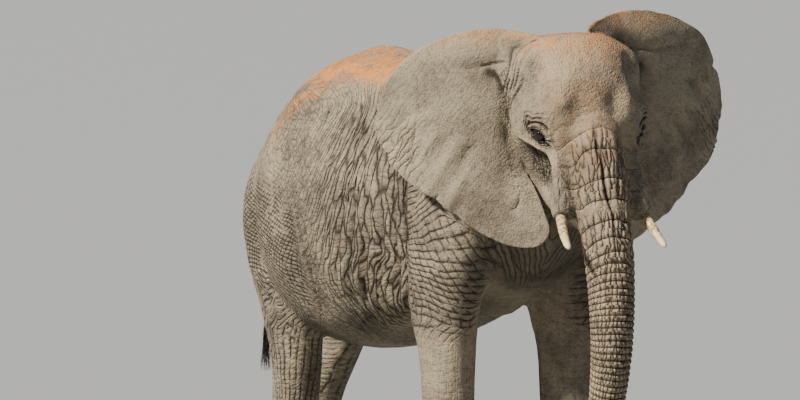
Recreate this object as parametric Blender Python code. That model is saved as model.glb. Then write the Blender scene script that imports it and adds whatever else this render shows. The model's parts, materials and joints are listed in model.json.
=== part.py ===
"""African savanna elephant cow, mid-step with its head turned to its right, life size.

The animal faces -Y, +Z is up, and its right side is at -X. The floor is z = 0.
The flesh is lofted as body masses, fused, shaped by soft pushes, and parted by thin cuts.
The head, trunk, tusks, eyes and ears are set out in the head's own frame: its origin is
midway between the eyes, its -Y leaves the face and its +X points to the animal's left.
All lengths are metres, all angles are degrees.
"""

import math

import bmesh
import bpy
import numpy as np
from mathutils import Matrix, Vector

# ---------------------------------------------------------------- driving dimensions
GAP = 0.0003  # clearance between neighbouring pieces
CENTRE = (0.1187, -0.2668)  # on plan, of the box round the whole animal: it becomes the origin
VOXEL = 0.020  # grid that fuses the body masses
FUSE_SMOOTHING = 10  # rounds of smoothing over the fused joins
FLESH_TRIANGLES = 3300  # of the whole fused body, before it is parted

SHOULDER_HEIGHT = 2.60
HIP_HEIGHT = 2.56
EYE_HEIGHT = 2.20
EYE_RADIUS = 0.032
EYE_DEPTH = 0.015  # of the eye's centre below the skin's surface
HEAD_PLACE = (-0.10, -1.62)  # midpoint between the eyes, on plan
HEAD_TURN = -17.0  # about +Z: towards the animal's right
HEAD_ROLL = -2.5  # lifts the left side of the head
EAR_SPREAD = {"ear_right": 62.0, "ear_left": 66.0}  # of the ear's blade from straight back
EAR_SIZE = {"ear_right": 1.0, "ear_left": 1.07}
EAR_LIFT = {"ear_right": 0.0, "ear_left": 0.022}
EAR_EDGE = 0.010  # half thickness at the rim
EAR_ROOT = 0.030  # half thickness at the root
TUSK_RADIUS = 0.026
HALF_TRACK = {"fore_right": -0.33, "fore_left": 0.33, "hind_right": -0.27, "hind_left": 0.25}
STRIDE = {"fore_right": 0.045, "fore_left": -0.12, "hind_right": -0.10, "hind_left": 0.58}
FOREFOOT_Y = -0.78
HINDFOOT_Y = 0.80
NAIL_RINGS = ((0.014, 0.039, 0.009), (0.055, 0.045, 0.012), (0.094, 0.034, 0.002))
# of each nail ring: height, half width, how far it stands out
NAILS = {"fore": (-50, -18, 14, 46), "hind": (-38, 0, 38)}  # bearings round the foot's front

SKIN_COLOUR = (0.23, 0.195, 0.17, 1.0)
IVORY_COLOUR = (0.80, 0.68, 0.50, 1.0)
EYE_COLOUR = (0.03, 0.017, 0.01, 1.0)
TUFT_COLOUR = (0.02, 0.018, 0.016, 1.0)
ACROSS, FORWARD, UP = Vector((1, 0, 0)), Vector((0, -1, 0)), Vector((0, 0, 1))


# ---------------------------------------------------------------- small tools
def clear_scene():
    """Removes what the startup file holds."""
    for obj in list(bpy.data.objects):
        bpy.data.objects.remove(obj)


def material(name, colour, roughness):
    """A Principled material of one colour."""
    made = bpy.data.materials.new(name)
    made.use_nodes = True
    shader = made.node_tree.nodes["Principled BSDF"]
    shader.inputs["Base Color"].default_value = colour
    shader.inputs["Roughness"].default_value = roughness
    shader.inputs["Metallic"].default_value = 0.0
    made.diffuse_color = colour
    return made


def add_object(name, shape):
    """An object of its own from a bmesh, which is freed."""
    mesh = bpy.data.meshes.new(name)
    shape.to_mesh(mesh)
    shape.free()
    made = bpy.data.objects.new(name, mesh)
    bpy.context.scene.collection.objects.link(made)
    return made


def copy_object(obj, name):
    """A second object with a mesh of its own."""
    made = bpy.data.objects.new(name, obj.data.copy())
    bpy.context.scene.collection.objects.link(made)
    return made


def smooth_line(stations, steps, closed=False):
    """Rows of numbers on the smooth line through the stations, `steps` of them to each span."""
    rows = np.array(stations, float)
    if closed:
        rows = np.vstack([rows[-2:], rows, rows[:3]])
    chords = np.linalg.norm(np.diff(rows[:, :3], axis=0), axis=1)
    at = np.concatenate([[0.0], np.cumsum(np.maximum(chords, 1e-6))])
    slopes = np.gradient(rows, at, axis=0)
    made = []
    for i, span in enumerate(np.diff(at)):
        for t in np.arange(steps) / steps:
            made.append(
                rows[i] * (1 + 2 * t) * (1 - t) ** 2
                + slopes[i] * span * t * (1 - t) ** 2
                + rows[i + 1] * t * t * (3 - 2 * t)
                + slopes[i + 1] * span * t * t * (t - 1)
            )
    if closed:
        return made[2 * steps : -2 * steps]
    made.append(rows[-1])
    return made


def oval(centre, side, front, half_side, half_front, half_back, sides, power=2.0):
    """A ring of points: an oval with its own depth before and behind its widest line."""
    ring = []
    for i in range(sides):
        turn = 2 * math.pi * i / sides
        across, along = math.cos(turn), math.sin(turn)
        across = math.copysign(abs(across) ** (2 / power), across)
        along = math.copysign(abs(along) ** (2 / power), along)
        depth = half_front if along > 0 else half_back
        ring.append(centre + side * (half_side * across) + front * (depth * along))
    return ring


def loft(name, rings, place=Matrix.Identity(4)):
    """A closed mesh object through the rings, in order, with flat ends."""
    shape = bmesh.new()
    loops = [[shape.verts.new(place @ point) for point in ring] for ring in rings]
    for low, high in zip(loops, loops[1:]):
        for i in range(len(low)):
            j = (i + 1) % len(low)
            shape.faces.new((low[i], low[j], high[j], high[i]))
    shape.faces.new(loops[0])
    shape.faces.new(loops[-1])
    bmesh.ops.triangulate(shape, faces=shape.faces)
    bmesh.ops.recalc_face_normals(shape, faces=shape.faces)
    return add_object(name, shape)


def limb(name, stations, sides=24):
    """A leg-like mass of level ovals: rows of x, y, z, half width, half depth."""
    rings = [
        oval(Vector(row[:3]), ACROSS, FORWARD, row[3], row[4], row[4], sides)
        for row in smooth_line(stations, 4)
    ]
    return loft(name, rings)


def hose(name, stations, sides=20, place=Matrix.Identity(4), steps=4):
    """A bent round mass of ovals square to its line: rows of x, y, z, half width, half depth."""
    rows = smooth_line(stations, steps)
    points = [Vector(row[:3]) for row in rows]
    rings = []
    for i, row in enumerate(rows):
        along = (points[min(i + 1, len(rows) - 1)] - points[max(i - 1, 0)]).normalized()
        side = (ACROSS - along * ACROSS.dot(along)).normalized()
        rings.append(oval(points[i], side, along.cross(side), row[3], row[4], row[4], sides))
    return loft(name, rings, place)


def block(name, outline, x_from, x_to, place=Matrix.Identity(4)):
    """A prism across the body from an outline of (y, z) points."""
    rings = [[Vector((x, y, z)) for y, z in outline] for x in (x_from, x_to)]
    return loft(name, rings, place)


def egg(name, centre, sizes, turn=Matrix.Identity(3), fine=2):
    """An ellipsoid with the given half sizes."""
    shape = bmesh.new()
    bmesh.ops.create_icosphere(shape, subdivisions=fine, radius=1.0)
    for vert in shape.verts:
        vert.co = centre + turn @ Vector([vert.co[k] * sizes[k] for k in range(3)])
    return add_object(name, shape)


def apply_modifier(obj, kind, **settings):
    """Adds a modifier and makes its result the object's mesh."""
    modifier = obj.modifiers.new(kind.title(), kind)
    for key, value in settings.items():
        setattr(modifier, key, value)
    graph = bpy.context.evaluated_depsgraph_get()
    mesh = bpy.data.meshes.new_from_object(obj.evaluated_get(graph))
    obj.modifiers.clear()
    obj.data = mesh


def join(name, objects):
    """One object that holds the meshes of several, which are removed."""
    shape = bmesh.new()
    for obj in objects:
        shape.from_mesh(obj.data)
        bpy.data.objects.remove(obj)
    return add_object(name, shape)


def grown(obj, distance):
    """A copy with every point moved out along its normal."""
    made = copy_object(obj, obj.name + " grown")
    normals = [Vector(vert.normal) for vert in made.data.vertices]
    for vert, normal in zip(made.data.vertices, normals):
        vert.co += normal * distance
    return made


def combine(piece, other, operation):
    """Makes the piece its union, difference or intersection with the other."""
    apply_modifier(piece, "BOOLEAN", object=other, operation=operation, solver="EXACT")


def keep_largest(obj):
    """Drops loose crumbs, so that one closed body is left."""
    shape = bmesh.new()
    shape.from_mesh(obj.data)
    left, groups = set(shape.verts), []
    while left:
        stack, group = [left.pop()], set()
        while stack:
            vert = stack.pop()
            group.add(vert)
            for edge in vert.link_edges:
                other = edge.other_vert(vert)
                if other in left:
                    left.discard(other)
                    stack.append(other)
        groups.append(group)
    groups.sort(key=len)
    for group in groups[:-1]:
        bmesh.ops.delete(shape, geom=list(group), context="VERTS")
    bmesh.ops.dissolve_degenerate(shape, dist=1e-5, edges=shape.edges)
    shape.to_mesh(obj.data)
    shape.free()


def half(obj, name, point, normal):
    """The part of a piece that lies behind a plane, closed by a flat face."""
    made = copy_object(obj, name)
    shape = bmesh.new()
    shape.from_mesh(made.data)
    everything = list(shape.verts) + list(shape.edges) + list(shape.faces)
    cut = bmesh.ops.bisect_plane(
        shape, geom=everything, plane_co=point, plane_no=normal, clear_outer=True, dist=1e-6
    )
    edges = [item for item in cut["geom_cut"] if isinstance(item, bmesh.types.BMEdge)]
    filled = bmesh.ops.holes_fill(shape, edges=edges, sides=0)["faces"]
    bmesh.ops.triangulate(shape, faces=filled)
    bmesh.ops.recalc_face_normals(shape, faces=shape.faces)
    shape.to_mesh(made.data)
    shape.free()
    return made


def part_at(obj, behind, ahead, point, normal):
    """Parts a piece at a plane into two, with the gap between them."""
    normal = normal.normalized()
    first = half(obj, behind, point - normal * GAP / 2, normal)
    second = half(obj, ahead, point + normal * GAP / 2, -normal)
    bpy.data.objects.remove(obj)
    return first, second


def part_off(obj, name, cutter):
    """Takes what lies inside the cutter off a piece, with the gap between them."""
    inside = copy_object(obj, name)
    combine(inside, cutter, "INTERSECT")
    wide = grown(cutter, GAP * 1.8)
    combine(obj, wide, "DIFFERENCE")
    bpy.data.objects.remove(cutter)
    bpy.data.objects.remove(wide)
    return inside


# ---------------------------------------------------------------- places
def head_frame(roll=HEAD_ROLL):
    """From the head's own frame to the animal's."""
    place = Matrix.Translation((HEAD_PLACE[0], HEAD_PLACE[1], EYE_HEIGHT))
    turn = Matrix.Rotation(math.radians(HEAD_TURN), 4, "Z")
    return place @ turn @ Matrix.Rotation(math.radians(roll), 4, "Y")


def swing(leg, z, hip):
    """How far the leg's line is swung aft at height z, below its pivot."""
    return STRIDE[leg] * max(0.0, 1 - (max(z, 0.0) / hip) ** 1.5)


# ---------------------------------------------------------------- body masses
def torso():
    """The barrel: rows of y, back height, belly height, half width."""
    rows = (
        (-1.24, 2.10, 1.72, 0.14),
        (-1.16, 2.32, 1.52, 0.30),
        (-1.00, 2.48, 1.36, 0.42),
        (-0.72, SHOULDER_HEIGHT - 0.01, 1.24, 0.50),
        (-0.35, 2.55, 1.10, 0.61),
        (0.00, 2.53, 1.00, 0.68),
        (0.32, HIP_HEIGHT, 0.97, 0.68),
        (0.62, 2.48, 1.02, 0.59),
        (0.86, 2.31, 1.25, 0.47),
        (1.02, 2.11, 1.50, 0.33),
        (1.11, 1.94, 1.72, 0.17),
    )
    widest = 0.44  # share of the height at which the barrel is widest
    rings = []
    for y, back, belly, half_width in smooth_line(rows, 4):
        level = belly + (back - belly) * widest
        middle = Vector((0, y, level))
        rings.append(oval(middle, ACROSS, UP, half_width, back - level, level - belly, 36, 2.15))
    return loft("torso", rings)


def foreleg(leg):
    """From the sole to the shoulder blade."""
    rows = (
        (1.00, 0.000, -0.03, 0.190, 0.200),
        (1.00, 0.000, 0.05, 0.200, 0.210),
        (1.00, 0.005, 0.14, 0.182, 0.192),
        (1.00, 0.010, 0.30, 0.146, 0.152),
        (1.00, -0.005, 0.54, 0.136, 0.148),
        (1.00, 0.010, 0.78, 0.132, 0.148),
        (1.03, 0.010, 1.02, 0.142, 0.165),
        (1.06, 0.030, 1.24, 0.165, 0.215),
        (1.08, -0.010, 1.48, 0.190, 0.265),
        (1.06, -0.060, 1.78, 0.190, 0.290),
        (0.88, -0.030, 2.10, 0.165, 0.270),
        (0.60, 0.040, 2.38, 0.120, 0.200),
    )
    return limb(
        leg,
        [
            (HALF_TRACK[leg] * out, FOREFOOT_Y + y + swing(leg, z, 1.9), z, width, depth)
            for out, y, z, width, depth in rows
        ],
    )


def hindleg(leg):
    """From the sole to the hip."""
    rows = (
        (1.00, -0.010, -0.03, 0.158, 0.188),
        (1.00, -0.005, 0.05, 0.168, 0.198),
        (1.00, 0.020, 0.15, 0.148, 0.172),
        (1.00, 0.050, 0.36, 0.118, 0.138),
        (1.02, 0.035, 0.62, 0.120, 0.142),
        (1.08, -0.020, 0.88, 0.130, 0.158),
        (1.20, -0.045, 1.12, 0.148, 0.192),
        (1.32, -0.025, 1.45, 0.170, 0.252),
        (1.30, -0.025, 1.76, 0.172, 0.268),
        (1.05, -0.050, 2.02, 0.150, 0.235),
        (0.70, -0.100, 2.24, 0.105, 0.165),
    )
    return limb(
        leg,
        [
            (HALF_TRACK[leg] * out, HINDFOOT_Y + y + swing(leg, z, 1.8), z, width, depth)
            for out, y, z, width, depth in rows
        ],
    )


def neck():
    """The short neck, from inside the chest to the back of the skull."""
    stations = (
        (0.00, -0.70, 1.97, 0.35, 0.50),
        (0.00, -1.00, 2.04, 0.34, 0.44),
        (0.01, -1.20, 2.12, 0.29, 0.38),
        (0.01, -1.36, 2.18, 0.22, 0.30),
    )
    return hose("neck", stations, 28)


def cranium():
    """The upper head: level ovals of height, half width, face, widest line and back."""
    rows = (
        (0.478, 0.07, 0.14, 0.24, 0.32),
        (0.455, 0.20, 0.06, 0.24, 0.42),
        (0.385, 0.29, -0.02, 0.25, 0.50),
        (0.270, 0.335, -0.09, 0.25, 0.54),
        (0.130, 0.342, -0.145, 0.22, 0.56),
        (0.000, 0.335, -0.18, 0.19, 0.55),
        (-0.130, 0.292, -0.18, 0.17, 0.52),
        (-0.240, 0.230, -0.16, 0.15, 0.46),
        (-0.330, 0.155, -0.12, 0.12, 0.36),
    )
    rings = []
    for _, z, half_width, face, widest, back in smooth_line([(0, *row) for row in rows], 4):
        middle = Vector((0, widest, z))
        rings.append(
            oval(middle, ACROSS, FORWARD, half_width, widest - face, back - widest, 32, 2.25)
        )
    return loft("cranium", rings, head_frame())


def jaw():
    """The lower jaw, from its hinge below the ear to the pointed lip."""
    stations = (
        (0, 0.32, -0.16, 0.180, 0.21),
        (0, 0.21, -0.28, 0.180, 0.185),
        (0, 0.09, -0.38, 0.150, 0.140),
        (0, 0.00, -0.455, 0.108, 0.092),
        (0, -0.045, -0.520, 0.066, 0.050),
        (0, -0.062, -0.570, 0.032, 0.026),
    )
    return hose("jaw", stations, 20, head_frame(0.0))


def ear_base(hand):
    """The muscle that carries the ear, behind the temple."""
    stations = (
        (hand * 0.14, 0.20, 0.22, 0.17, 0.20),
        (hand * 0.27, 0.30, 0.25, 0.125, 0.19),
        (hand * 0.36, 0.37, 0.26, 0.080, 0.17),
        (hand * 0.44, 0.425, 0.27, 0.038, 0.12),
    )
    rings = []
    for row in smooth_line(stations, 3):
        rings.append(oval(Vector(row[:3]), FORWARD, UP, row[3], row[4], row[4] * 1.25, 16))
    return loft("ear base", rings, head_frame())


def trunk():
    """From the brow to the finger tips, hanging plumb."""
    stations = (
        (0, 0.02, 0.08, 0.185, 0.15),
        (0, -0.06, -0.05, 0.190, 0.15),
        (0, -0.13, -0.19, 0.170, 0.14),
        (0, -0.19, -0.33, 0.150, 0.13),
        (0, -0.25, -0.48, 0.136, 0.126),
        (0, -0.305, -0.64, 0.127, 0.122),
        (0, -0.345, -0.90, 0.116, 0.114),
        (0, -0.335, -1.12, 0.106, 0.104),
        (0, -0.275, -1.34, 0.094, 0.094),
        (0, -0.185, -1.58, 0.081, 0.080),
        (0, -0.085, -1.80, 0.069, 0.067),
        (0, 0.010, -1.96, 0.059, 0.056),
        (0, 0.095, -2.045, 0.051, 0.046),
        (0, 0.165, -2.075, 0.042, 0.034),
    )
    return hose("trunk", stations, 22, head_frame(0.0))


def tusk_sheath(hand):
    """The swelling beside the trunk that the tusk grows out of."""
    stations = (
        (hand * 0.10, 0.00, -0.02, 0.10, 0.12),
        (hand * 0.140, -0.06, -0.18, 0.102, 0.11),
        (hand * 0.182, -0.14, -0.32, 0.080, 0.085),
        (hand * 0.215, -0.215, -0.435, 0.055, 0.056),
    )
    return hose("sheath", stations, 16, head_frame(0.0))


def tail():
    """From the rump to the root of the tuft."""
    stations = (
        (0.00, 0.92, 1.96, 0.080, 0.07),
        (0.00, 1.05, 1.93, 0.064, 0.055),
        (0.00, 1.14, 1.82, 0.050, 0.043),
        (-0.02, 1.215, 1.66, 0.040, 0.034),
        (-0.06, 1.265, 1.40, 0.034, 0.029),
        (-0.095, 1.285, 1.15, 0.031, 0.026),
        (-0.105, 1.285, 1.02, 0.029, 0.024),
    )
    return hose("tail", stations, 12)


# ---------------------------------------------------------------- modelling by pushes
HEAD_PUSHES = (
    # place, reach and movement in the head's frame; done on both sides
    ((0.320, -0.05, 0.080), (0.07, 0.09, 0.05), (0.020, -0.020, 0.000)),  # brow
    ((0.330, 0.00, -0.030), (0.06, 0.06, 0.05), (-0.018, 0.004, 0.000)),  # eye socket
    ((0.290, 0.10, -0.180), (0.10, 0.12, 0.11), (-0.030, 0.000, 0.000)),  # cheek hollow
    ((0.320, 0.00, 0.200), (0.10, 0.07, 0.10), (-0.022, 0.012, 0.000)),  # temple hollow
    ((0.300, 0.12, 0.330), (0.10, 0.09, 0.09), (0.020, -0.022, 0.010)),  # temple swelling
    ((0.110, -0.12, 0.270), (0.13, 0.10, 0.13), (0.000, -0.022, 0.004)),  # forehead lobe
)
BODY_PUSHES = (
    ((0.46, 0.36, 2.25), (0.16, 0.18, 0.14), (0.030, 0.00, 0.022)),  # hip bone
    ((0.66, 0.36, 1.85), (0.18, 0.16, 0.26), (-0.045, 0.00, 0.000)),  # hollow before the thigh
    ((0.56, -0.46, 1.40), (0.16, 0.11, 0.26), (-0.045, 0.00, 0.000)),  # armpit
    ((0.56, -0.30, 2.15), (0.20, 0.16, 0.22), (-0.030, 0.00, 0.000)),  # behind the shoulder blade
    ((0.12, -0.66, 1.24), (0.09, 0.10, 0.08), (0.000, 0.00, -0.025)),  # breast
    ((0.00, 0.25, 2.56), (0.09, 0.90, 0.10), (0.000, 0.00, 0.012)),  # spine
)


def push(body, pushes, place):
    """Moves the skin near each place, fading out over its reach, on both sides."""
    count = len(body.data.vertices)
    flat = np.empty(count * 3)
    body.data.vertices.foreach_get("co", flat)
    points = flat.reshape(-1, 3)
    inverse = np.array(place.inverted())
    local = points @ inverse[:3, :3].T + inverse[:3, 3]
    moves = np.zeros_like(local)
    for at, reach, move in pushes:
        for hand in (1, -1):
            mirror = np.array((hand, 1, 1))
            away = (local - np.array(at) * mirror) / np.array(reach)
            fade = np.exp(-(away**2).sum(axis=1))
            moves += fade[:, None] * np.array(move) * mirror
    local += moves
    forward = np.array(place)
    points = local @ forward[:3, :3].T + forward[:3, 3]
    body.data.vertices.foreach_set("co", points.reshape(-1))
    body.data.update()


def flesh():
    """All body masses fused into one closed mesh, smoothed, shaped and made light."""
    masses = [torso(), neck(), cranium(), jaw(), trunk(), tail()]
    masses += [foreleg("fore_right"), foreleg("fore_left")]
    masses += [hindleg("hind_right"), hindleg("hind_left")]
    masses += [tusk_sheath(-1), tusk_sheath(1), ear_base(-1), ear_base(1)]
    body = join("flesh", masses)
    apply_modifier(body, "REMESH", mode="VOXEL", voxel_size=VOXEL)
    apply_modifier(body, "SMOOTH", factor=0.5, iterations=FUSE_SMOOTHING)
    push(body, HEAD_PUSHES, head_frame())
    push(body, BODY_PUSHES, Matrix.Identity(4))
    triangles = sum(len(face.vertices) - 2 for face in body.data.polygons)
    apply_modifier(body, "DECIMATE", ratio=FLESH_TRIANGLES / triangles)
    soled = half(body, "flesh", Vector((0, 0, 0)), Vector((0, 0, -1)))
    bpy.data.objects.remove(body)
    return soled


# ---------------------------------------------------------------- ears, tusks, eyes, nails
def ear(name, hand):
    """The blade: a thin curved sheet between its root and its rim."""
    rim = (
        # outwards from the root, height; from the top of the root round the outer edge
        (-0.26, 0.43, 0.022),
        (-0.12, 0.49, 0.020),
        (0.03, 0.512, 0.016),
        (0.17, 0.505, 0.012),
        (0.32, 0.465, 0.010),
        (0.48, 0.375, 0.010),
        (0.60, 0.235, 0.010),
        (0.665, 0.08, 0.010),
        (0.625, -0.08, 0.010),
        (0.53, -0.21, 0.010),
        (0.37, -0.33, 0.010),
        (0.23, -0.45, 0.010),
        (0.08, -0.55, 0.010),
        (-0.07, -0.60, 0.010),
        (-0.17, -0.585, 0.010),
        (-0.215, -0.53, 0.010),
        (-0.195, -0.42, 0.010),
        (-0.15, -0.29, 0.011),
        (-0.10, -0.19, 0.013),
        (-0.07, -0.08, 0.018),
        (-0.07, 0.10, 0.022),
        (-0.12, 0.28, 0.022),
        (-0.24, 0.36, 0.022),
    )
    rows = smooth_line(rim, 2, closed=True)
    core = ((0.02, 0.36), (0.04, 0.20), (0.06, 0.05), (0.05, -0.12), (0.00, -0.30), (-0.04, -0.44))
    spread = math.radians(EAR_SPREAD[name])
    size, lift = EAR_SIZE[name], EAR_LIFT[name]
    outward = Vector((hand * math.sin(spread), math.cos(spread), 0))
    facing = Vector((hand * math.cos(spread), -math.sin(spread), 0))
    root = Vector((hand * 0.335, 0.33, lift))

    def place(out, up, front):
        """A point of the sheet: it bows forward at mid-blade and rolls back along the top."""
        bow = 0.055 * math.sin(min(max(out / 0.66, 0), 1) * math.pi) * (1 - 0.6 * abs(up))
        roll = -0.30 * max(0.0, up - 0.36) ** 1.3 - 0.20 * max(0.0, out - 0.50)
        under = 0.10 * max(0.0, -out - 0.02) ** 1.0 - 0.05 * max(0.0, -up - 0.3)
        return root + (outward * out + UP * up) * size + facing * (bow + roll + under + front)

    def nearest_core(out, up):
        """The point of the core line that a rim point faces."""
        line = smooth_line([(a, b, 0) for a, b in core], 6)
        return min(line, key=lambda p: (p[0] - out) ** 2 + 0.6 * (p[1] - up) ** 2)

    bands = (0.22, 0.72, 1.0)
    shape = bmesh.new()
    grids = []
    for side in (1, -1):
        grid = []
        for share in bands:
            ring = []
            for out, up, edge in rows:
                inner = nearest_core(out, up)
                a = inner[0] + (out - inner[0]) * share
                b = inner[1] + (up - inner[1]) * share
                thick = edge + (EAR_ROOT - edge) * (1 - share**1.5)
                if share == 1.0:
                    thick = edge * 0.5
                ring.append(shape.verts.new(head_frame() @ place(a, b, side * thick)))
            grid.append(ring)
        grids.append(grid)
    count = len(rows)
    for grid in grids:
        for low, high in zip(grid, grid[1:]):
            for i in range(count):
                j = (i + 1) % count
                shape.faces.new((low[i], low[j], high[j], high[i]))
    for i in range(count):
        j = (i + 1) % count
        shape.faces.new((grids[0][-1][i], grids[0][-1][j], grids[1][-1][j], grids[1][-1][i]))
    for grid in grids:
        shape.faces.new(grid[0])
    bmesh.ops.triangulate(shape, faces=shape.faces)
    bmesh.ops.recalc_face_normals(shape, faces=shape.faces)
    return add_object(name, shape)


def tusk(name, hand):
    """The ivory, from inside its sheath to the worn tip."""
    stations = (
        (hand * 0.202, -0.150, -0.355, 0.92),
        (hand * 0.222, -0.215, -0.430, 1.00),
        (hand * 0.237, -0.285, -0.488, 0.90),
        (hand * 0.247, -0.350, -0.532, 0.74),
        (hand * 0.252, -0.402, -0.562, 0.56),
        (hand * 0.253, -0.420, -0.570, 0.34),
    )
    radii = [(x, y, z, TUSK_RADIUS * r, TUSK_RADIUS * r * 0.94) for x, y, z, r in stations]
    return hose(name, radii, 10, head_frame(0.0), steps=1)


def surface_point(body, start, direction):
    """Where a ray from outside first meets the body, and the normal there."""
    hit, place, normal, _ = body.ray_cast(start, direction)
    if not hit:
        raise ValueError("the ray met no skin")
    return place, normal


def eye(name, body, hand):
    """The ball, sunk below the skin, with its pocket cut into the body."""
    place = head_frame()
    start = place @ Vector((hand * 0.6, -0.02, -0.018))
    across = (place.to_3x3() @ Vector((-hand, 0, 0))).normalized()
    spot, normal = surface_point(body, start, across)
    return egg(name, spot - normal * EYE_DEPTH, (EYE_RADIUS,) * 3, fine=2)


def toenails(body, leg):
    """The nail shields round the front of a foot, which grow from it in one piece."""
    kind = leg.split("_")[0]
    foot_y = FOREFOOT_Y if kind == "fore" else HINDFOOT_Y
    centre = Vector((HALF_TRACK[leg], foot_y + STRIDE[leg], 0.055))
    made = []
    for bearing in NAILS[kind]:
        turn = math.radians(bearing)
        out = Vector((math.sin(turn), -math.cos(turn), 0))
        side = Vector((math.cos(turn), math.sin(turn), 0))
        size = 1.0 if abs(bearing) < 30 else 0.86
        rings = []
        for height, width, depth in NAIL_RINGS:
            level = Vector((centre.x, centre.y, height))
            spot, _ = surface_point(body, level + out * 0.5, -out)
            spot += out * (depth - 0.016)
            rings.append(oval(spot, side, out, width * size, 0.016, 0.014, 6, 2.0))
        made.append(loft("nail", rings))
    return made


def tuft():
    """The two-edged brush of wires at the end of the tail."""
    stations = (
        (-0.105, 1.285, 1.0197, 0.0275, 0.0225),
        (-0.112, 1.287, 0.96, 0.032, 0.040),
        (-0.118, 1.290, 0.86, 0.026, 0.046),
        (-0.120, 1.292, 0.78, 0.012, 0.018),
    )
    return hose("tail_tuft", stations, 10, steps=1)


# ---------------------------------------------------------------- parting
def pocket(body, piece):
    """Cuts room for a separate piece into the body it sits in."""
    wide = grown(piece, GAP * 1.6)
    combine(body, wide, "DIFFERENCE")
    bpy.data.objects.remove(wide)


def part_trunk(front):
    """The trunk's four lengths and its tip, taken off the head one by one."""
    outline = [(-1.2, -0.46), (-0.11, -0.50), (-0.085, -0.66), (0.7, -0.80), (0.7, -2.4), (-1.2, -2.4)]
    rest = part_off(front, "trunk", block("cutter", outline, -0.6, 0.6, head_frame(0.0)))
    place = head_frame(0.0)
    cuts = (
        ("trunk_upper", (0, -0.345, -0.90), (0, 0.02, -1)),
        ("trunk_middle", (0, -0.275, -1.34), (0, 0.38, -1)),
        ("trunk_lower", (0, -0.085, -1.80), (0, 0.60, -1)),
    )
    lengths = []
    for name, point, along in cuts:
        direction = place.to_3x3() @ Vector(along)
        length, rest = part_at(rest, name, "trunk_tip", place @ Vector(point), direction)
        lengths.append(length)
    return lengths + [rest]


def part_leg(body, leg, top, joint, ankle):
    """A leg taken off the trunk of the body in an upper length, a lower length and a foot."""
    hand = -1 if HALF_TRACK[leg] < 0 else 1
    low, high = (0.015, -0.10), (0.20, top)
    rings = []
    for y in (-1.30, -0.40) if leg.startswith("fore") else (0.28, 1.85):
        rings.append(
            [
                Vector((hand * low[0], y, low[1])),
                Vector((hand * high[0], y, high[1])),
                Vector((hand * 1.2, y, high[1] - 0.05)),
                Vector((hand * 1.2, y, low[1])),
            ]
        )
    whole = part_off(body, leg, loft("cutter", rings))
    down = Vector((0, 0, -1))
    upper, rest = part_at(whole, leg + "_upper", "rest", Vector((0, 0, joint)), down)
    lower, foot = part_at(rest, leg + "_lower", leg + "_foot", Vector((0, 0, ankle)), down)
    return [upper, lower, foot]


def part_body(body):
    """The fused body divided where a person would name its parts."""
    outline = [(0.54, 0.9), (0.50, 0.0), (0.42, -0.37), (0.14, -0.60), (0.30, -0.80), (0.30, -2.4)]
    outline += [(-1.2, -2.4), (-1.2, 0.9)]
    front = part_off(body, "head", block("cutter", outline, -0.8, 0.8, head_frame(0.0)))
    made = [front]
    made += part_leg(body, "fore_right", 1.80, 1.04, 0.20)
    made += part_leg(body, "fore_left", 1.80, 1.04, 0.20)
    made += part_leg(body, "hind_right", 1.85, 0.98, 0.22)
    made += part_leg(body, "hind_left", 1.85, 0.98, 0.22)
    outline = [(1.085, 2.3), (1.085, 0.9), (1.6, 0.9), (1.6, 2.3)]
    whole_tail = part_off(body, "tail", block("cutter", outline, -0.20, 0.075))
    made += part_at(whole_tail, "tail_upper", "tail_lower", Vector((0, 0, 1.42)), Vector((0, 0, -1)))
    made += part_trunk(front)
    neck_piece, rest = part_at(body, "neck", "rest", Vector((0, -1.02, 2.10)), Vector((0, 0.9, -0.4)))
    chest, rest = part_at(rest, "chest", "rest", Vector((0, -0.30, 1.6)), Vector((0, 1, 0)))
    made += [neck_piece, chest]
    made += part_at(rest, "belly", "rump", Vector((0, 0.48, 1.6)), Vector((0, 1, 0)))
    return made


def main():
    clear_scene()
    skin = material("elephant hide", SKIN_COLOUR, 0.85)
    ivory = material("ivory", IVORY_COLOUR, 0.45)
    wet = material("eye", EYE_COLOUR, 0.12)
    wire = material("tail wires", TUFT_COLOUR, 0.6)

    body = flesh()
    eyes = [eye("eye_right", body, -1), eye("eye_left", body, 1)]
    tusks = [tusk("tusk_right", -1), tusk("tusk_left", 1)]
    for nail in [nail for leg in HALF_TRACK for nail in toenails(body, leg)]:
        combine(body, nail, "UNION")
        bpy.data.objects.remove(nail)
    ears = [ear("ear_right", -1), ear("ear_left", 1)]
    for piece in ears:
        wide = grown(body, GAP)
        combine(piece, wide, "DIFFERENCE")
        bpy.data.objects.remove(wide)
    for piece in eyes + tusks:
        pocket(body, piece)
    pieces = part_body(body)
    hair = tuft()
    for group, look in (
        (pieces + ears, skin),
        (tusks, ivory),
        (eyes, wet),
        ([hair], wire),
    ):
        for piece in group:
            keep_largest(piece)
            piece.data.materials.clear()
            piece.data.materials.append(look)
            piece.data.transform(Matrix.Translation((-CENTRE[0], -CENTRE[1], 0)))


main()
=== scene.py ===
"""African savanna elephant cow, life size: the finish of the still model.

The animal faces -Y, +Z is up and its right side is at -X. One hide covers the whole body. The
eyes, tusks, toenails, lashes and the wires of the tail are pieces of their own.
Lengths are metres and angles are degrees, and places on the head are in the head's own frame:
its origin is midway between the eyes, its -Y leaves the face and its +X is the animal's left.
"""

import json
import math

import bmesh
import bpy
import numpy as np
from bpy.props import FloatProperty, FloatVectorProperty, IntProperty, PointerProperty
from mathutils import Matrix, Vector

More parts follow.
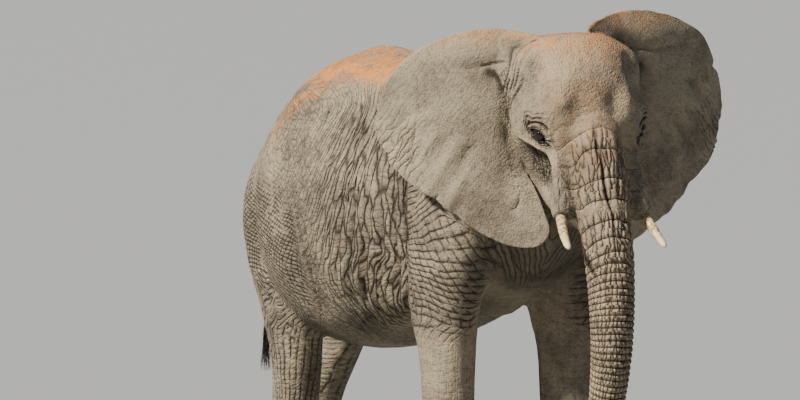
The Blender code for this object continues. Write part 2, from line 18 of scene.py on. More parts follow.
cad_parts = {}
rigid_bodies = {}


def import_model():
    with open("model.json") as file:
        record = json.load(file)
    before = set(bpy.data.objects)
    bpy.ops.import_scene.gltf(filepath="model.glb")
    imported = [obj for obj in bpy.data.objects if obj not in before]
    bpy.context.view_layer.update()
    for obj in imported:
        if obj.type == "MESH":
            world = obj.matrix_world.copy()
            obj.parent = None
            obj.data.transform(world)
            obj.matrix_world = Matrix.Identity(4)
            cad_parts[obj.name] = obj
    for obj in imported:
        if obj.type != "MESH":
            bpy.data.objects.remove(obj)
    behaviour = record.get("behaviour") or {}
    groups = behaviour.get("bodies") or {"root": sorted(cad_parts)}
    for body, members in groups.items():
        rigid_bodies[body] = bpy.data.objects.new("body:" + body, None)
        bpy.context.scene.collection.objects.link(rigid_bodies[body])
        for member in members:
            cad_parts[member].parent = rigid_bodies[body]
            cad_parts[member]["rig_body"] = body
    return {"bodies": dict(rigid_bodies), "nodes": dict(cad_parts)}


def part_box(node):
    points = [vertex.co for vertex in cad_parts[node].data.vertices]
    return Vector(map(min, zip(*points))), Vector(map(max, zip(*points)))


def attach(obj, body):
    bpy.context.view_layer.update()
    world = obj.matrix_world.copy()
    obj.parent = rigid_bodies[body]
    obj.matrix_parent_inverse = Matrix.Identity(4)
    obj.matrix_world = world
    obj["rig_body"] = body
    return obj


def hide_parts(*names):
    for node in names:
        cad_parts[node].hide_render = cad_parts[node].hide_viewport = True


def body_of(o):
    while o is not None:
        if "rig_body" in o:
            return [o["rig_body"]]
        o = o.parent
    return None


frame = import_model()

bl_info = {
    "name": "Savanna Elephant",
    "version": (1, 0, 0),
    "blender": (4, 5, 0),
    "location": "View3D > Sidebar > Elephant",
    "description": "Adds the hide, eyes, tusks, nails and hair of a life-size elephant",
    "category": "Add Mesh",
}

FLESH_NODES = sorted(name for name in frame["nodes"] if not name.startswith(("eye", "tusk", "tail_tuft")))
CENTRE = (0.1187, -0.2668)  # on plan, from the animal's own origin to the frame's
SHOULDER_HEIGHT = 2.60
HIP_HEIGHT = 2.56
EYE_HEIGHT = 2.20
HEAD_PLACE = (-0.10, -1.62)
HEAD_TURN = -17.0
HEAD_ROLL = -2.5
EAR_SPREAD = {"right": 62.0, "left": 66.0}  # of the ear's blade from straight back
EAR_SIZE = {"right": 1.0, "left": 1.07}
EAR_LIFT = {"right": 0.0, "left": 0.022}
EAR_ROOT = 0.030  # half thickness at the root
HALF_TRACK = {"fore_right": -0.33, "fore_left": 0.33, "hind_right": -0.27, "hind_left": 0.25}
STRIDE = {"fore_right": 0.045, "fore_left": -0.12, "hind_right": -0.10, "hind_left": 0.58}
FOREFOOT_Y = -0.78
HINDFOOT_Y = 0.80
NAILS = {"fore": (-50, -18, 14, 46), "hind": (-38, 0, 38)}  # bearings round the foot's front
HANDS = {"right": -1, "left": 1}
EYE_HALF_LENGTH = 0.051  # of the gap between the lids
UPPER_LID, LOWER_LID = 0.0285, 0.0205  # from the lids' line to the middle of each lid's edge
EYE_REACH = 0.17  # of all that is shaped round an eye
EYE_GRIDS = (0.11, 0.066)  # distances from an eye within which the hide's grid is halved again
HIDE_SINK = 0.003  # how far all but the ears is drawn in, to make room for raised folds
LASHES = 48
LASH_SPACING = 0.0116  # of the lashes' roots on the unwrap
TAIL_LEAN = Vector((0.15, -0.12, 0))  # of the tail's end, for each metre up
BODY_GRID = 0.0095  # of the grid that fuses the body masses
FUSED_SOFTNESS = 0.0316  # how far smoothing spreads a fused join
HIDE_TRIANGLES = 197000
ACROSS, FORWARD, UP = Vector((1, 0, 0)), Vector((0, -1, 0)), Vector((0, 0, 1))


# ---------------------------------------------------------------- small tools
def linear(code):
    """Linear red, green and blue from a hex code of the sRGB colour."""
    parts = [int(code[i : i + 2], 16) / 255 for i in (1, 3, 5)]
    return [p / 12.92 if p <= 0.04045 else ((p + 0.055) / 1.055) ** 2.4 for p in parts]


def deselect():
    """Leaves nothing selected and no object active."""
    for obj in bpy.context.selected_objects:
        obj.select_set(False)
    bpy.context.view_layer.objects.active = None


def pick(obj):
    """Makes one object the only one selected, and active."""
    deselect()
    obj.select_set(True)
    bpy.context.view_layer.objects.active = obj


def finish_modifier(obj, kind, **settings):
    """Adds a modifier with its settings and applies it."""
    pick(obj)
    modifier = obj.modifiers.new(kind.title(), kind)
    for key, value in settings.items():
        setattr(modifier, key, value)
    bpy.ops.object.modifier_apply(modifier=modifier.name)


def new_object(name, points, faces):
    """An object at the origin from lists of points and faces."""
    mesh = bpy.data.meshes.new(name)
    mesh.from_pydata(points, [], faces)
    mesh.update()
    made = bpy.data.objects.new(name, mesh)
    bpy.context.scene.collection.objects.link(made)
    return made


def joined(objects, name):
    """Joins objects into the first one."""
    deselect()
    for obj in objects:
        obj.select_set(True)
    bpy.context.view_layer.objects.active = objects[0]
    bpy.ops.object.join()
    objects[0].name = name
    return objects[0]


def points_of(obj):
    """The mesh's points as rows of an array."""
    flat = np.empty(len(obj.data.vertices) * 3, np.float32)
    obj.data.vertices.foreach_get("co", flat)
    return flat.reshape(-1, 3).astype(float)


def set_points(obj, points):
    """Moves the mesh's points to the rows of an array."""
    obj.data.vertices.foreach_set("co", points.astype(np.float32).reshape(-1))
    obj.data.update()


def normals_of(obj):
    """The mesh's point normals as rows of an array."""
    flat = np.empty(len(obj.data.vertices) * 3, np.float32)
    obj.data.vertex_normals.foreach_get("vector", flat)
    return flat.reshape(-1, 3).astype(float)


def attribute(obj, name, values):
    """Stores one number or one vector for each point, for the shader."""
    kind, field = ("FLOAT", "value") if values.ndim == 1 else ("FLOAT_VECTOR", "vector")
    layer = obj.data.attributes.new(name, kind, "POINT")
    layer.data.foreach_set(field, values.astype(np.float32).reshape(-1))


def moved(points, place):
    """Rows of points taken through a 4 x 4 matrix."""
    table = np.array(place)
    return points @ table[:3, :3].T + table[:3, 3]


def head_frame(roll=HEAD_ROLL):
    """From the head's own frame to the model's."""
    place = Matrix.Translation((HEAD_PLACE[0] - CENTRE[0], HEAD_PLACE[1] - CENTRE[1], EYE_HEIGHT))
    turn = Matrix.Rotation(math.radians(HEAD_TURN), 4, "Z")
    return place @ turn @ Matrix.Rotation(math.radians(roll), 4, "Y")


def body_frame():
    """From the body's own frame to the model's."""
    return Matrix.Translation((-CENTRE[0], -CENTRE[1], 0))


def smooth_rows(stations, steps, closed=False):
    """Rows of numbers on the smooth line through the stations, `steps` of them to each span."""
    rows = np.array(stations, float)
    if closed:
        rows = np.vstack([rows[-2:], rows, rows[:3]])
    chords = np.linalg.norm(np.diff(rows[:, :3], axis=0), axis=1)
    at = np.concatenate([[0.0], np.cumsum(np.maximum(chords, 1e-6))])
    slopes = np.gradient(rows, at, axis=0)
    made = []
    for i, span in enumerate(np.diff(at)):
        for t in np.arange(steps) / steps:
            made.append(
                rows[i] * (1 + 2 * t) * (1 - t) ** 2
                + slopes[i] * span * t * (1 - t) ** 2
                + rows[i + 1] * t * t * (3 - 2 * t)
                + slopes[i + 1] * span * t * t * (t - 1)
            )
    if closed:
        return np.array(made[2 * steps : -2 * steps])
    made.append(rows[-1])
    return np.array(made)


def oval(centre, side, front, half_side, half_front, half_back, sides, power=2.0):
    """A ring of points: an oval with its own depth before and behind its widest line."""
    turn = 2 * np.pi * np.arange(sides) / sides
    across = np.copysign(np.abs(np.cos(turn)) ** (2 / power), np.cos(turn))
    along = np.copysign(np.abs(np.sin(turn)) ** (2 / power), np.sin(turn))
    depth = np.where(along > 0, half_front, half_back)
    centre, side, front = np.array(centre), np.array(side), np.array(front)
    return centre + np.outer(half_side * across, side) + np.outer(depth * along, front)


def loft(name, rings, place=Matrix.Identity(4)):
    """A closed mesh object through the rings, in order, with flat ends."""
    sides, count = len(rings[0]), len(rings)
    points = moved(np.vstack(rings), place)
    faces = []
    for low in range(0, (count - 1) * sides, sides):
        for i in range(sides):
            j = (i + 1) % sides
            faces.append((low + i, low + j, low + sides + j, low + sides + i))
    faces.append(tuple(range(sides))[::-1])
    faces.append(tuple(range((count - 1) * sides, count * sides)))
    made = new_object(name, points.tolist(), faces)
    shape = bmesh.new()
    shape.from_mesh(made.data)
    bmesh.ops.recalc_face_normals(shape, faces=shape.faces)
    shape.to_mesh(made.data)
    shape.free()
    return made


def hose(name, stations, sides, place, steps=6):
    """A bent round mass of ovals square to its line: rows of x, y, z, half width, half depth."""
    rows = smooth_rows(stations, steps)
    rings = []
    for i, row in enumerate(rows):
        along = Vector(rows[min(i + 1, len(rows) - 1)][:3] - rows[max(i - 1, 0)][:3]).normalized()
        side = (ACROSS - along * ACROSS.dot(along)).normalized()
        rings.append(oval(row[:3], side, along.cross(side), row[3], row[4], row[4], sides))
    return loft(name, rings, place)


# ---------------------------------------------------------------- smooth fields over the body
def ramp(values, low, high):
    """0 below low, 1 above high, and a smooth step between them; low may be the higher one."""
    t = np.clip((values - low) / (high - low), 0, 1)
    return t * t * (3 - 2 * t)


def bell(values, middle, reach):
    """1 at the middle, fading to nothing at about twice the reach."""
    return np.exp(-(((values - middle) / reach) ** 2))


def most(*fields):
    """The highest of some fields at each point."""
    return np.maximum.reduce(fields)


def lattice(corners, seed):
    """A repeatable number from 0 to 1 for each whole-number corner of space."""
    mixed = corners[..., 0] * 73856093 ^ corners[..., 1] * 19349663
    mixed = mixed ^ corners[..., 2] * 83492791 ^ (seed * 2654435761 % 4294967296)
    mixed = (mixed ^ (mixed >> 13)) * 1274126177
    mixed = mixed ^ (mixed >> 16)
    return (mixed & 0xFFFF) / 0xFFFF


def lumps(points, size, seed):
    """Smooth lumps of the given size, from -1 to 1."""
    scaled = points / np.array(size)
    base = np.floor(scaled).astype(np.int64)
    t = scaled - base
    t = t * t * (3 - 2 * t)
    total = np.zeros(len(points))
    for corner in np.ndindex(2, 2, 2):
        share = np.prod(np.where(corner, t, 1 - t), axis=1)
        total += share * lattice(base + np.array(corner), seed)
    return 2 * total - 1


def cells(flat, size, seed):
    """An uneven honeycomb over 2-D points: 0 on the cells' edges, about 1 inside them."""
    scaled = flat / np.array(size)
    base = np.floor(scaled).astype(np.int64)
    first = np.full(len(flat), 9.0)
    second = first.copy()
    for step in np.ndindex(3, 3):
        corner = base + np.array(step) - 1
        key = np.c_[corner, np.zeros(len(flat), np.int64)]
        seedling = np.stack([lattice(key, seed + k) for k in range(2)], axis=1)
        away = np.linalg.norm(corner + seedling - scaled, axis=1)
        nearer = away < first
        second = np.where(nearer, first, np.minimum(second, away))
        first = np.where(nearer, away, first)
    return np.clip((second - first) / 0.5, 0, 1)


def stroke(flat, line, reach):
    """1 on a drawn line through 2-D points, fading with distance; its ends fade out too."""
    line = smooth_rows([(a, b, 0) for a, b in line], 5)[:, :2]
    low, high = line.min(axis=0) - 3 * reach, line.max(axis=0) + 3 * reach
    rows = np.flatnonzero(((flat > low) & (flat < high)).all(axis=1))
    near = flat[rows]
    best = np.full(len(near), 9.0)
    share = np.zeros(len(near))
    for i, (start, end) in enumerate(zip(line, line[1:])):
        along = end - start
        t = np.clip(((near - start) @ along) / (along @ along), 0, 1)
        away = np.linalg.norm(near - start - t[:, None] * along, axis=1)
        share = np.where(away < best, (i + t) / (len(line) - 1), share)
        best = np.minimum(best, away)
    taper = ramp(share, 0.0, 0.18) * ramp(share, 1.0, 0.82)
    drawn = np.zeros(len(flat))
    drawn[rows] = np.exp(-((best / reach) ** 2)) * (0.15 + 0.85 * taper)
    return drawn


# ---------------------------------------------------------------- body masses
def swing(leg, z, hip):
    """How far the leg's line is swung aft at height z, below its pivot."""
    return STRIDE[leg] * max(0.0, 1 - (max(z, 0.0) / hip) ** 1.5)


def torso():
    """The barrel: rows of y, back height, belly height, half width."""
    rows = (
        (-1.24, 2.10, 1.72, 0.14),
        (-1.16, 2.32, 1.52, 0.30),
        (-1.00, 2.48, 1.36, 0.42),
        (-0.72, SHOULDER_HEIGHT - 0.01, 1.24, 0.50),
        (-0.35, 2.55, 1.10, 0.61),
        (0.00, 2.53, 1.00, 0.68),
        (0.32, HIP_HEIGHT, 0.97, 0.68),
        (0.62, 2.48, 1.02, 0.59),
        (0.86, 2.31, 1.25, 0.47),
        (1.02, 2.11, 1.50, 0.33),
        (1.11, 1.94, 1.72, 0.17),
    )
    widest = 0.44  # share of the height at which the barrel is widest
    rings = []
    for y, back, belly, half_width in smooth_rows(rows, 8):
        level = belly + (back - belly) * widest
        rings.append(
            oval((0, y, level), ACROSS, UP, half_width, back - level, level - belly, 72, 2.15)
        )
    return loft("torso", rings, body_frame())


def leg_mass(leg):
    """A leg from its sole to the shoulder blade or the hip: level ovals."""
    fore = (
        (1.00, 0.000, -0.03, 0.190, 0.200),
        (1.00, 0.000, 0.05, 0.200, 0.210),
        (1.00, 0.005, 0.14, 0.182, 0.192),
        (1.00, 0.010, 0.30, 0.146, 0.152),
        (1.00, -0.005, 0.54, 0.136, 0.148),
        (1.00, 0.010, 0.78, 0.132, 0.148),
        (1.03, 0.010, 1.02, 0.142, 0.165),
        (1.06, 0.030, 1.24, 0.165, 0.215),
        (1.08, -0.010, 1.48, 0.190, 0.265),
        (1.06, -0.060, 1.78, 0.190, 0.290),
        (0.88, -0.030, 2.10, 0.165, 0.270),
        (0.60, 0.040, 2.38, 0.120, 0.200),
    )
    hind = (
        (1.00, -0.010, -0.03, 0.158, 0.188),
        (1.00, -0.005, 0.05, 0.168, 0.198),
        (1.00, 0.020, 0.15, 0.148, 0.172),
        (1.00, 0.050, 0.36, 0.118, 0.138),
        (1.02, 0.035, 0.62, 0.120, 0.142),
        (1.08, -0.020, 0.88, 0.130, 0.158),
        (1.20, -0.045, 1.12, 0.148, 0.192),
        (1.32, -0.025, 1.45, 0.170, 0.252),
        (1.30, -0.025, 1.76, 0.172, 0.268),
        (1.05, -0.050, 2.02, 0.150, 0.235),
        (0.70, -0.100, 2.24, 0.105, 0.165),
    )
    rows, foot_y, hip = (fore, FOREFOOT_Y, 1.9) if leg.startswith("fore") else (hind, HINDFOOT_Y, 1.8)
    stations = [
        (HALF_TRACK[leg] * out, foot_y + y + swing(leg, z, hip), z, width, depth)
        for out, y, z, width, depth in rows
    ]
    rings = [
        oval(row[:3], ACROSS, FORWARD, row[3], row[4], row[4], 48)
        for row in smooth_rows(stations, 8)
    ]
    return loft(leg, rings, body_frame())


def cranium():
    """The upper head: level ovals of height, half width, face, widest line and back."""
    rows = (
        (0.478, 0.07, 0.14, 0.24, 0.32),
        (0.455, 0.20, 0.06, 0.24, 0.42),
        (0.385, 0.29, -0.02, 0.25, 0.50),
        (0.270, 0.335, -0.09, 0.25, 0.54),
        (0.130, 0.342, -0.145, 0.22, 0.56),
        (0.000, 0.335, -0.18, 0.19, 0.55),
        (-0.130, 0.292, -0.18, 0.17, 0.52),
        (-0.240, 0.230, -0.16, 0.15, 0.46),
        (-0.330, 0.155, -0.12, 0.12, 0.36),
    )
    rings = []
    for _, z, half_width, face, widest, back in smooth_rows([(0, *row) for row in rows], 8):
        rings.append(
            oval((0, widest, z), ACROSS, FORWARD, half_width, widest - face, back - widest, 64, 2.25)
        )
    return loft("cranium", rings, head_frame())


def ear_base(hand):
    """The muscle that carries the ear, behind the temple."""
    stations = (
        (hand * 0.14, 0.20, 0.22, 0.17, 0.20),
        (hand * 0.27, 0.30, 0.25, 0.125, 0.19),
        (hand * 0.36, 0.37, 0.26, 0.080, 0.17),
        (hand * 0.44, 0.425, 0.27, 0.038, 0.12),
    )
    rings = [
        oval(row[:3], FORWARD, UP, row[3], row[4], row[4] * 1.25, 32)
        for row in smooth_rows(stations, 6)
    ]
    return loft("ear base", rings, head_frame())


TRUNK_LINE = (
    # the trunk from the brow to the finger tips: x, y, z, half width, half depth
    (0, 0.02, 0.08, 0.185, 0.15),
    (0, -0.06, -0.05, 0.190, 0.15),
    (0, -0.13, -0.19, 0.170, 0.14),
    (0, -0.19, -0.33, 0.150, 0.13),
    (0, -0.25, -0.48, 0.136, 0.126),
    (0, -0.305, -0.64, 0.127, 0.122),
    (0, -0.345, -0.90, 0.116, 0.114),
    (0, -0.335, -1.12, 0.106, 0.104),
    (0, -0.275, -1.34, 0.094, 0.094),
    (0, -0.185, -1.58, 0.081, 0.080),
    (0, -0.085, -1.80, 0.069, 0.067),
    (0, 0.010, -1.96, 0.059, 0.056),
    (0, 0.095, -2.045, 0.051, 0.046),
    (0, 0.165, -2.075, 0.042, 0.034),
)

FIRST_RINGS = (0.142, 0.254, 0.400, 0.507, 0.618, 0.711, 0.780, 0.829, 0.870, 0.907, 0.939, 0.968)
RING_SPACING = 0.031  # along the trunk below the first rings


def hoses():
    """The neck, jaw, trunk, tail and tusk sheaths."""
    neck = (
        (0.00, -0.70, 1.97, 0.35, 0.50),
        (0.00, -1.00, 2.04, 0.34, 0.44),
        (0.01, -1.20, 2.12, 0.29, 0.38),
        (0.01, -1.36, 2.18, 0.22, 0.30),
    )
    jaw = (
        (0, 0.32, -0.16, 0.180, 0.21),
        (0, 0.21, -0.28, 0.180, 0.185),
        (0, 0.09, -0.38, 0.150, 0.140),
        (0, 0.00, -0.455, 0.108, 0.092),
        (0, -0.045, -0.520, 0.066, 0.050),
        (0, -0.062, -0.570, 0.032, 0.026),
    )
    tail = (
        (0.00, 0.92, 1.96, 0.080, 0.07),
        (0.00, 1.05, 1.93, 0.064, 0.055),
        (0.00, 1.14, 1.82, 0.050, 0.043),
        (-0.02, 1.215, 1.66, 0.040, 0.034),
        (-0.06, 1.265, 1.40, 0.034, 0.029),
        (-0.095, 1.285, 1.15, 0.031, 0.026),
        (-0.105, 1.285, 1.02, 0.029, 0.024),
    )
    upright = head_frame(0.0)
    made = [hose("neck", neck, 56, body_frame()), hose("tail", tail, 24, body_frame())]
    made += [hose("jaw", jaw, 40, upright), hose("trunk", TRUNK_LINE, 44, upright)]
    for hand in HANDS.values():
        sheath = (
            (hand * 0.10, 0.00, -0.02, 0.10, 0.12),
            (hand * 0.140, -0.06, -0.18, 0.102, 0.11),
            (hand * 0.182, -0.14, -0.32, 0.080, 0.085),
            (hand * 0.215, -0.215, -0.435, 0.055, 0.056),
        )
        made.append(hose("sheath", sheath, 32, upright))
    return made


HEAD_PUSHES = (
    # place, reach and movement in the head's frame; done on both sides
    ((0.320, -0.06, 0.085), (0.08, 0.10, 0.065), (0.036, -0.034, 0.000)),  # brow
    ((0.330, 0.00, -0.030), (0.06, 0.06, 0.05), (-0.018, 0.004, 0.000)),  # eye socket
    ((0.290, 0.10, -0.180), (0.10, 0.12, 0.11), (-0.030, 0.000, 0.000)),  # cheek hollow
    ((0.320, -0.02, 0.215), (0.09, 0.08, 0.08), (-0.030, 0.018, 0.000)),  # temple hollow
    ((0.300, 0.12, 0.330), (0.10, 0.09, 0.09), (0.020, -0.022, 0.010)),  # temple swelling
    ((0.110, -0.12, 0.270), (0.13, 0.10, 0.13), (0.000, -0.022, 0.004)),  # forehead lobe
    ((0.092, -0.16, 0.115), (0.045, 0.09, 0.11), (0.000, 0.017, 0.000)),  # groove inside the brow
    ((0.195, -0.11, 0.140), (0.055, 0.08, 0.08), (0.000, -0.028, 0.000)),  # inner end of the brow
    ((0.158, -0.22, -0.130), (0.052, 0.10, 0.17), (-0.012, 0.048, 0.000)),  # sides of the trunk's top
    ((0.100, -0.02, -0.470), (0.060, 0.09, 0.07), (-0.035, 0.030, 0.000)),  # corner of the mouth
    ((0.245, 0.035, 0.315), (0.050, 0.06, 0.065), (-0.012, 0.020, 0.000)),  # upper temple hollow
)
BODY_PUSHES = (
    ((0.46, 0.36, 2.25), (0.16, 0.18, 0.14), (0.030, 0.00, 0.022)),  # hip bone
    ((0.66, 0.36, 1.85), (0.18, 0.16, 0.26), (-0.045, 0.00, 0.000)),  # hollow before the thigh
    ((0.64, 0.21, 1.45), (0.20, 0.075, 0.28), (-0.034, 0.00, 0.000)),  # behind the thigh's crease
    ((0.56, -0.46, 1.40), (0.16, 0.11, 0.26), (-0.045, 0.00, 0.000)),  # armpit
    ((0.56, -0.30, 2.15), (0.20, 0.16, 0.22), (-0.030, 0.00, 0.000)),  # behind the shoulder
    ((0.12, -0.66, 1.24), (0.09, 0.10, 0.08), (0.000, 0.00, -0.025)),  # breast
    ((0.00, 0.25, 2.56), (0.09, 0.90, 0.10), (0.000, 0.00, 0.012)),  # spine
)


def pushed(points, pushes, place):
    """Points moved near each place, fading out over its reach, on both sides."""
    local = moved(points, place.inverted())
    moves = np.zeros_like(local)
    for at, reach, move in pushes:
        for hand in (1, -1):
            mirror = np.array((hand, 1, 1))
            away = (local - np.array(at) * mirror) / np.array(reach)
            moves += np.exp(-(away**2).sum(axis=1))[:, None] * np.array(move) * mirror
    return moved(local + moves, place)


# ---------------------------------------------------------------- ears
EAR_RIM = (
    # outwards from the root, height, half thickness; from the top of the root round the outer edge
    (-0.26, 0.43, 0.022),
    (-0.12, 0.49, 0.020),
    (0.03, 0.512, 0.016),
    (0.17, 0.505, 0.012),
    (0.32, 0.465, 0.010),
    (0.48, 0.375, 0.010),
    (0.60, 0.235, 0.010),
    (0.665, 0.08, 0.010),
    (0.625, -0.08, 0.010),
    (0.53, -0.21, 0.010),
    (0.37, -0.33, 0.010),
    (0.23, -0.45, 0.010),
    (0.08, -0.55, 0.010),
    (-0.07, -0.60, 0.010),
    (-0.17, -0.585, 0.010),
    (-0.215, -0.53, 0.010),
    (-0.195, -0.42, 0.010),
    (-0.15, -0.29, 0.011),
    (-0.10, -0.19, 0.013),
    (-0.07, -0.08, 0.018),
    (-0.07, 0.10, 0.022),
    (-0.12, 0.28, 0.022),
    (-0.24, 0.36, 0.022),
)
EAR_FREE_ROWS = 16  # of the rim, from the top of its root to the end of its lobe
EAR_CORE = (
    # the middle line that the blade's rings shrink to: outwards, height
    (0.02, 0.36),
    (0.04, 0.20),
    (0.06, 0.05),
    (0.05, -0.12),
    (0.00, -0.30),
    (-0.04, -0.44),
)


def ear_axes(side):
    """The ear's root, its outward and its forward direction, in the head's frame."""
    hand, spread = HANDS[side], math.radians(EAR_SPREAD[side])
    outward = np.array((hand * math.sin(spread), math.cos(spread), 0))
    facing = np.array((hand * math.cos(spread), -math.sin(spread), 0))
    return np.array((hand * 0.335, 0.33, EAR_LIFT[side])), outward, facing


def ear_lean(out, up):
    """How far the blade stands forward of its flat plane: it bows, and rolls back on top."""
    bow = 0.055 * np.sin(np.clip(out / 0.66, 0, 1) * np.pi) * (1 - 0.6 * np.abs(up))
    roll = -0.30 * np.maximum(0, up - 0.36) ** 1.3 - 0.20 * np.maximum(0, out - 0.50)
    return bow + roll + 0.10 * np.maximum(0, -out - 0.02) - 0.05 * np.maximum(0, -up - 0.3)


def ear_place(points, side):
    """Out, up and front of points of the model, on the ear's own sheet."""
    root, outward, facing = ear_axes(side)
    local = (moved(points, head_frame().inverted()) - root) / EAR_SIZE[side]
    out, up = local @ outward, local[:, 2]
    return out, up, (local @ facing) * EAR_SIZE[side] - ear_lean(out, up)


def ear_blade(side):
    """The blade: a thin curved sheet between its root and its rim, with a nicked edge."""
    rim = smooth_rows(EAR_RIM, 16, closed=True)
    core = smooth_rows([(a, b, 0) for a, b in EAR_CORE], 40)[:, :2]
    away = (core[None, :, 0] - rim[:, None, 0]) ** 2 + 0.6 * (core[None, :, 1] - rim[:, None, 1]) ** 2
    inner = core[away.argmin(axis=1)]
    for _ in range(40):
        inner = (np.roll(inner, 1, axis=0) + inner * 2 + np.roll(inner, -1, axis=0)) / 4
    # small nicks where the rim is free, and one deeper notch
    free = ramp(rim[:, 0], -0.1, 0.05) * ramp(rim[:, 1], 0.6, 0.3)
    ragged = lumps(np.c_[rim[:, :2], np.zeros(len(rim))], 0.055, 5 if side == "left" else 9)
    nicks = 0.010 * ramp(ragged, 0.15, 0.75) * free
    turns = np.arctan2(rim[:, 1], rim[:, 0])
    notches = ((0.34, 0.03, 0.020),) if side == "left" else ((0.10, 0.035, 0.012),)
    for bearing, width, depth in notches:
        nicks += depth * bell(turns, bearing, width)
    reach = 1 - nicks / np.linalg.norm(rim[:, :2] - inner, axis=1)
    shares = np.sin(np.linspace(0.03, 1, 44) * np.pi / 2)
    root, outward, facing = ear_axes(side)
    size = EAR_SIZE[side]
    rings = []
    for share in shares:
        flat = inner + (rim[:, :2] - inner) * (share * reach)[:, None]
        # thinner outwards, and round at the very edge
        thick = rim[:, 2] + (EAR_ROOT - rim[:, 2]) * (1 - share**1.5)
        edge = np.sqrt(max(0.0, 1 - max(0.0, (share - 0.955) / 0.045) ** 2))
        thick = thick * (1 - 0.55 * ramp(np.array(share), 0.5, 1.0)) * edge
        lean = ear_lean(flat[:, 0], flat[:, 1])
        sheet = root + (np.outer(flat[:, 0], outward) + np.outer(flat[:, 1], UP)) * size
        rings.append([sheet + np.outer(lean + hand * thick, facing) for hand in (1, -1)])
    front = [pair[0] for pair in rings]
    back = [pair[1] for pair in rings[:-1]]
    return loft("ear", front + back[::-1], head_frame())


# ---------------------------------------------------------------- the hide's mesh
def fused_masses():
    """All body masses fused into one closed mesh and softened."""
    masses = [torso(), cranium(), *hoses(), *(leg_mass(leg) for leg in HALF_TRACK)]
    masses += [ear_base(hand) for hand in HANDS.values()]
    body = joined(masses, "hide")
    finish_modifier(body, "REMESH", mode="VOXEL", voxel_size=BODY_GRID)
    rounds = round(4 * (FUSED_SOFTNESS / BODY_GRID) ** 2)
    finish_modifier(body, "SMOOTH", factor=0.5, iterations=rounds)
    points = pushed(points_of(body), HEAD_PUSHES, head_frame())
    set_points(body, pushed(points, BODY_PUSHES, body_frame()))
    return body


def with_ears(body):
    """The body with the ears grown into it, and their roots softened."""
    for side in HANDS:
        blade = ear_blade(side)
        finish_modifier(body, "BOOLEAN", object=blade, operation="UNION", solver="MANIFOLD")
        bpy.data.objects.remove(blade)
    points = points_of(body)
    weights = np.zeros(len(points))
    for side in HANDS:
        out, up, front = ear_place(points, side)
        near = bell(out, -0.05, 0.10) * ramp(np.abs(front), 0.14, 0.06) * ramp(np.abs(up), 0.62, 0.5)
        weights = np.maximum(weights, near)
    soften(body, weights, 14)
    return body


def soften(obj, weights, rounds):
    """Smooths the mesh where the weights are high."""
    group = obj.vertex_groups.new(name="soften")
    for level in np.linspace(0.1, 1.0, 10):
        rows = np.flatnonzero(np.abs(weights - level) <= 0.05)
        group.add(rows.tolist(), float(level), "REPLACE")
    finish_modifier(obj, "SMOOTH", factor=0.5, iterations=rounds, vertex_group="soften")
    obj.vertex_groups.clear()


def refined(obj, mask):
    """Halves the mesh's grid where the mask holds for a face's points."""
    shape = bmesh.new()
    shape.from_mesh(obj.data)
    shape.verts.ensure_lookup_table()
    edges = [edge for edge in shape.edges if mask[edge.verts[0].index] and mask[edge.verts[1].index]]
    bmesh.ops.subdivide_edges(shape, edges=edges, cuts=1, use_grid_fill=True, smooth=0.6)
    shape.to_mesh(obj.data)
    shape.free()


def cut_soles(obj):
    """Cuts the feet flat at the floor."""
    pick(obj)
    bpy.ops.object.mode_set(mode="EDIT")
    bpy.ops.mesh.select_all(action="SELECT")
    bpy.ops.mesh.bisect(
        plane_co=(0, 0, 0), plane_no=(0, 0, -1), use_fill=True, clear_outer=True, threshold=1e-6
    )
    bpy.ops.object.mode_set(mode="OBJECT")


# ---------------------------------------------------------------- places on the hide
def ear_polar(out, up):
    """Bearing and distance on the ear's sheet, seen from inside the skull."""
    return np.arctan2(up + 0.02, out + 0.30), np.hypot(out + 0.30, up + 0.02)


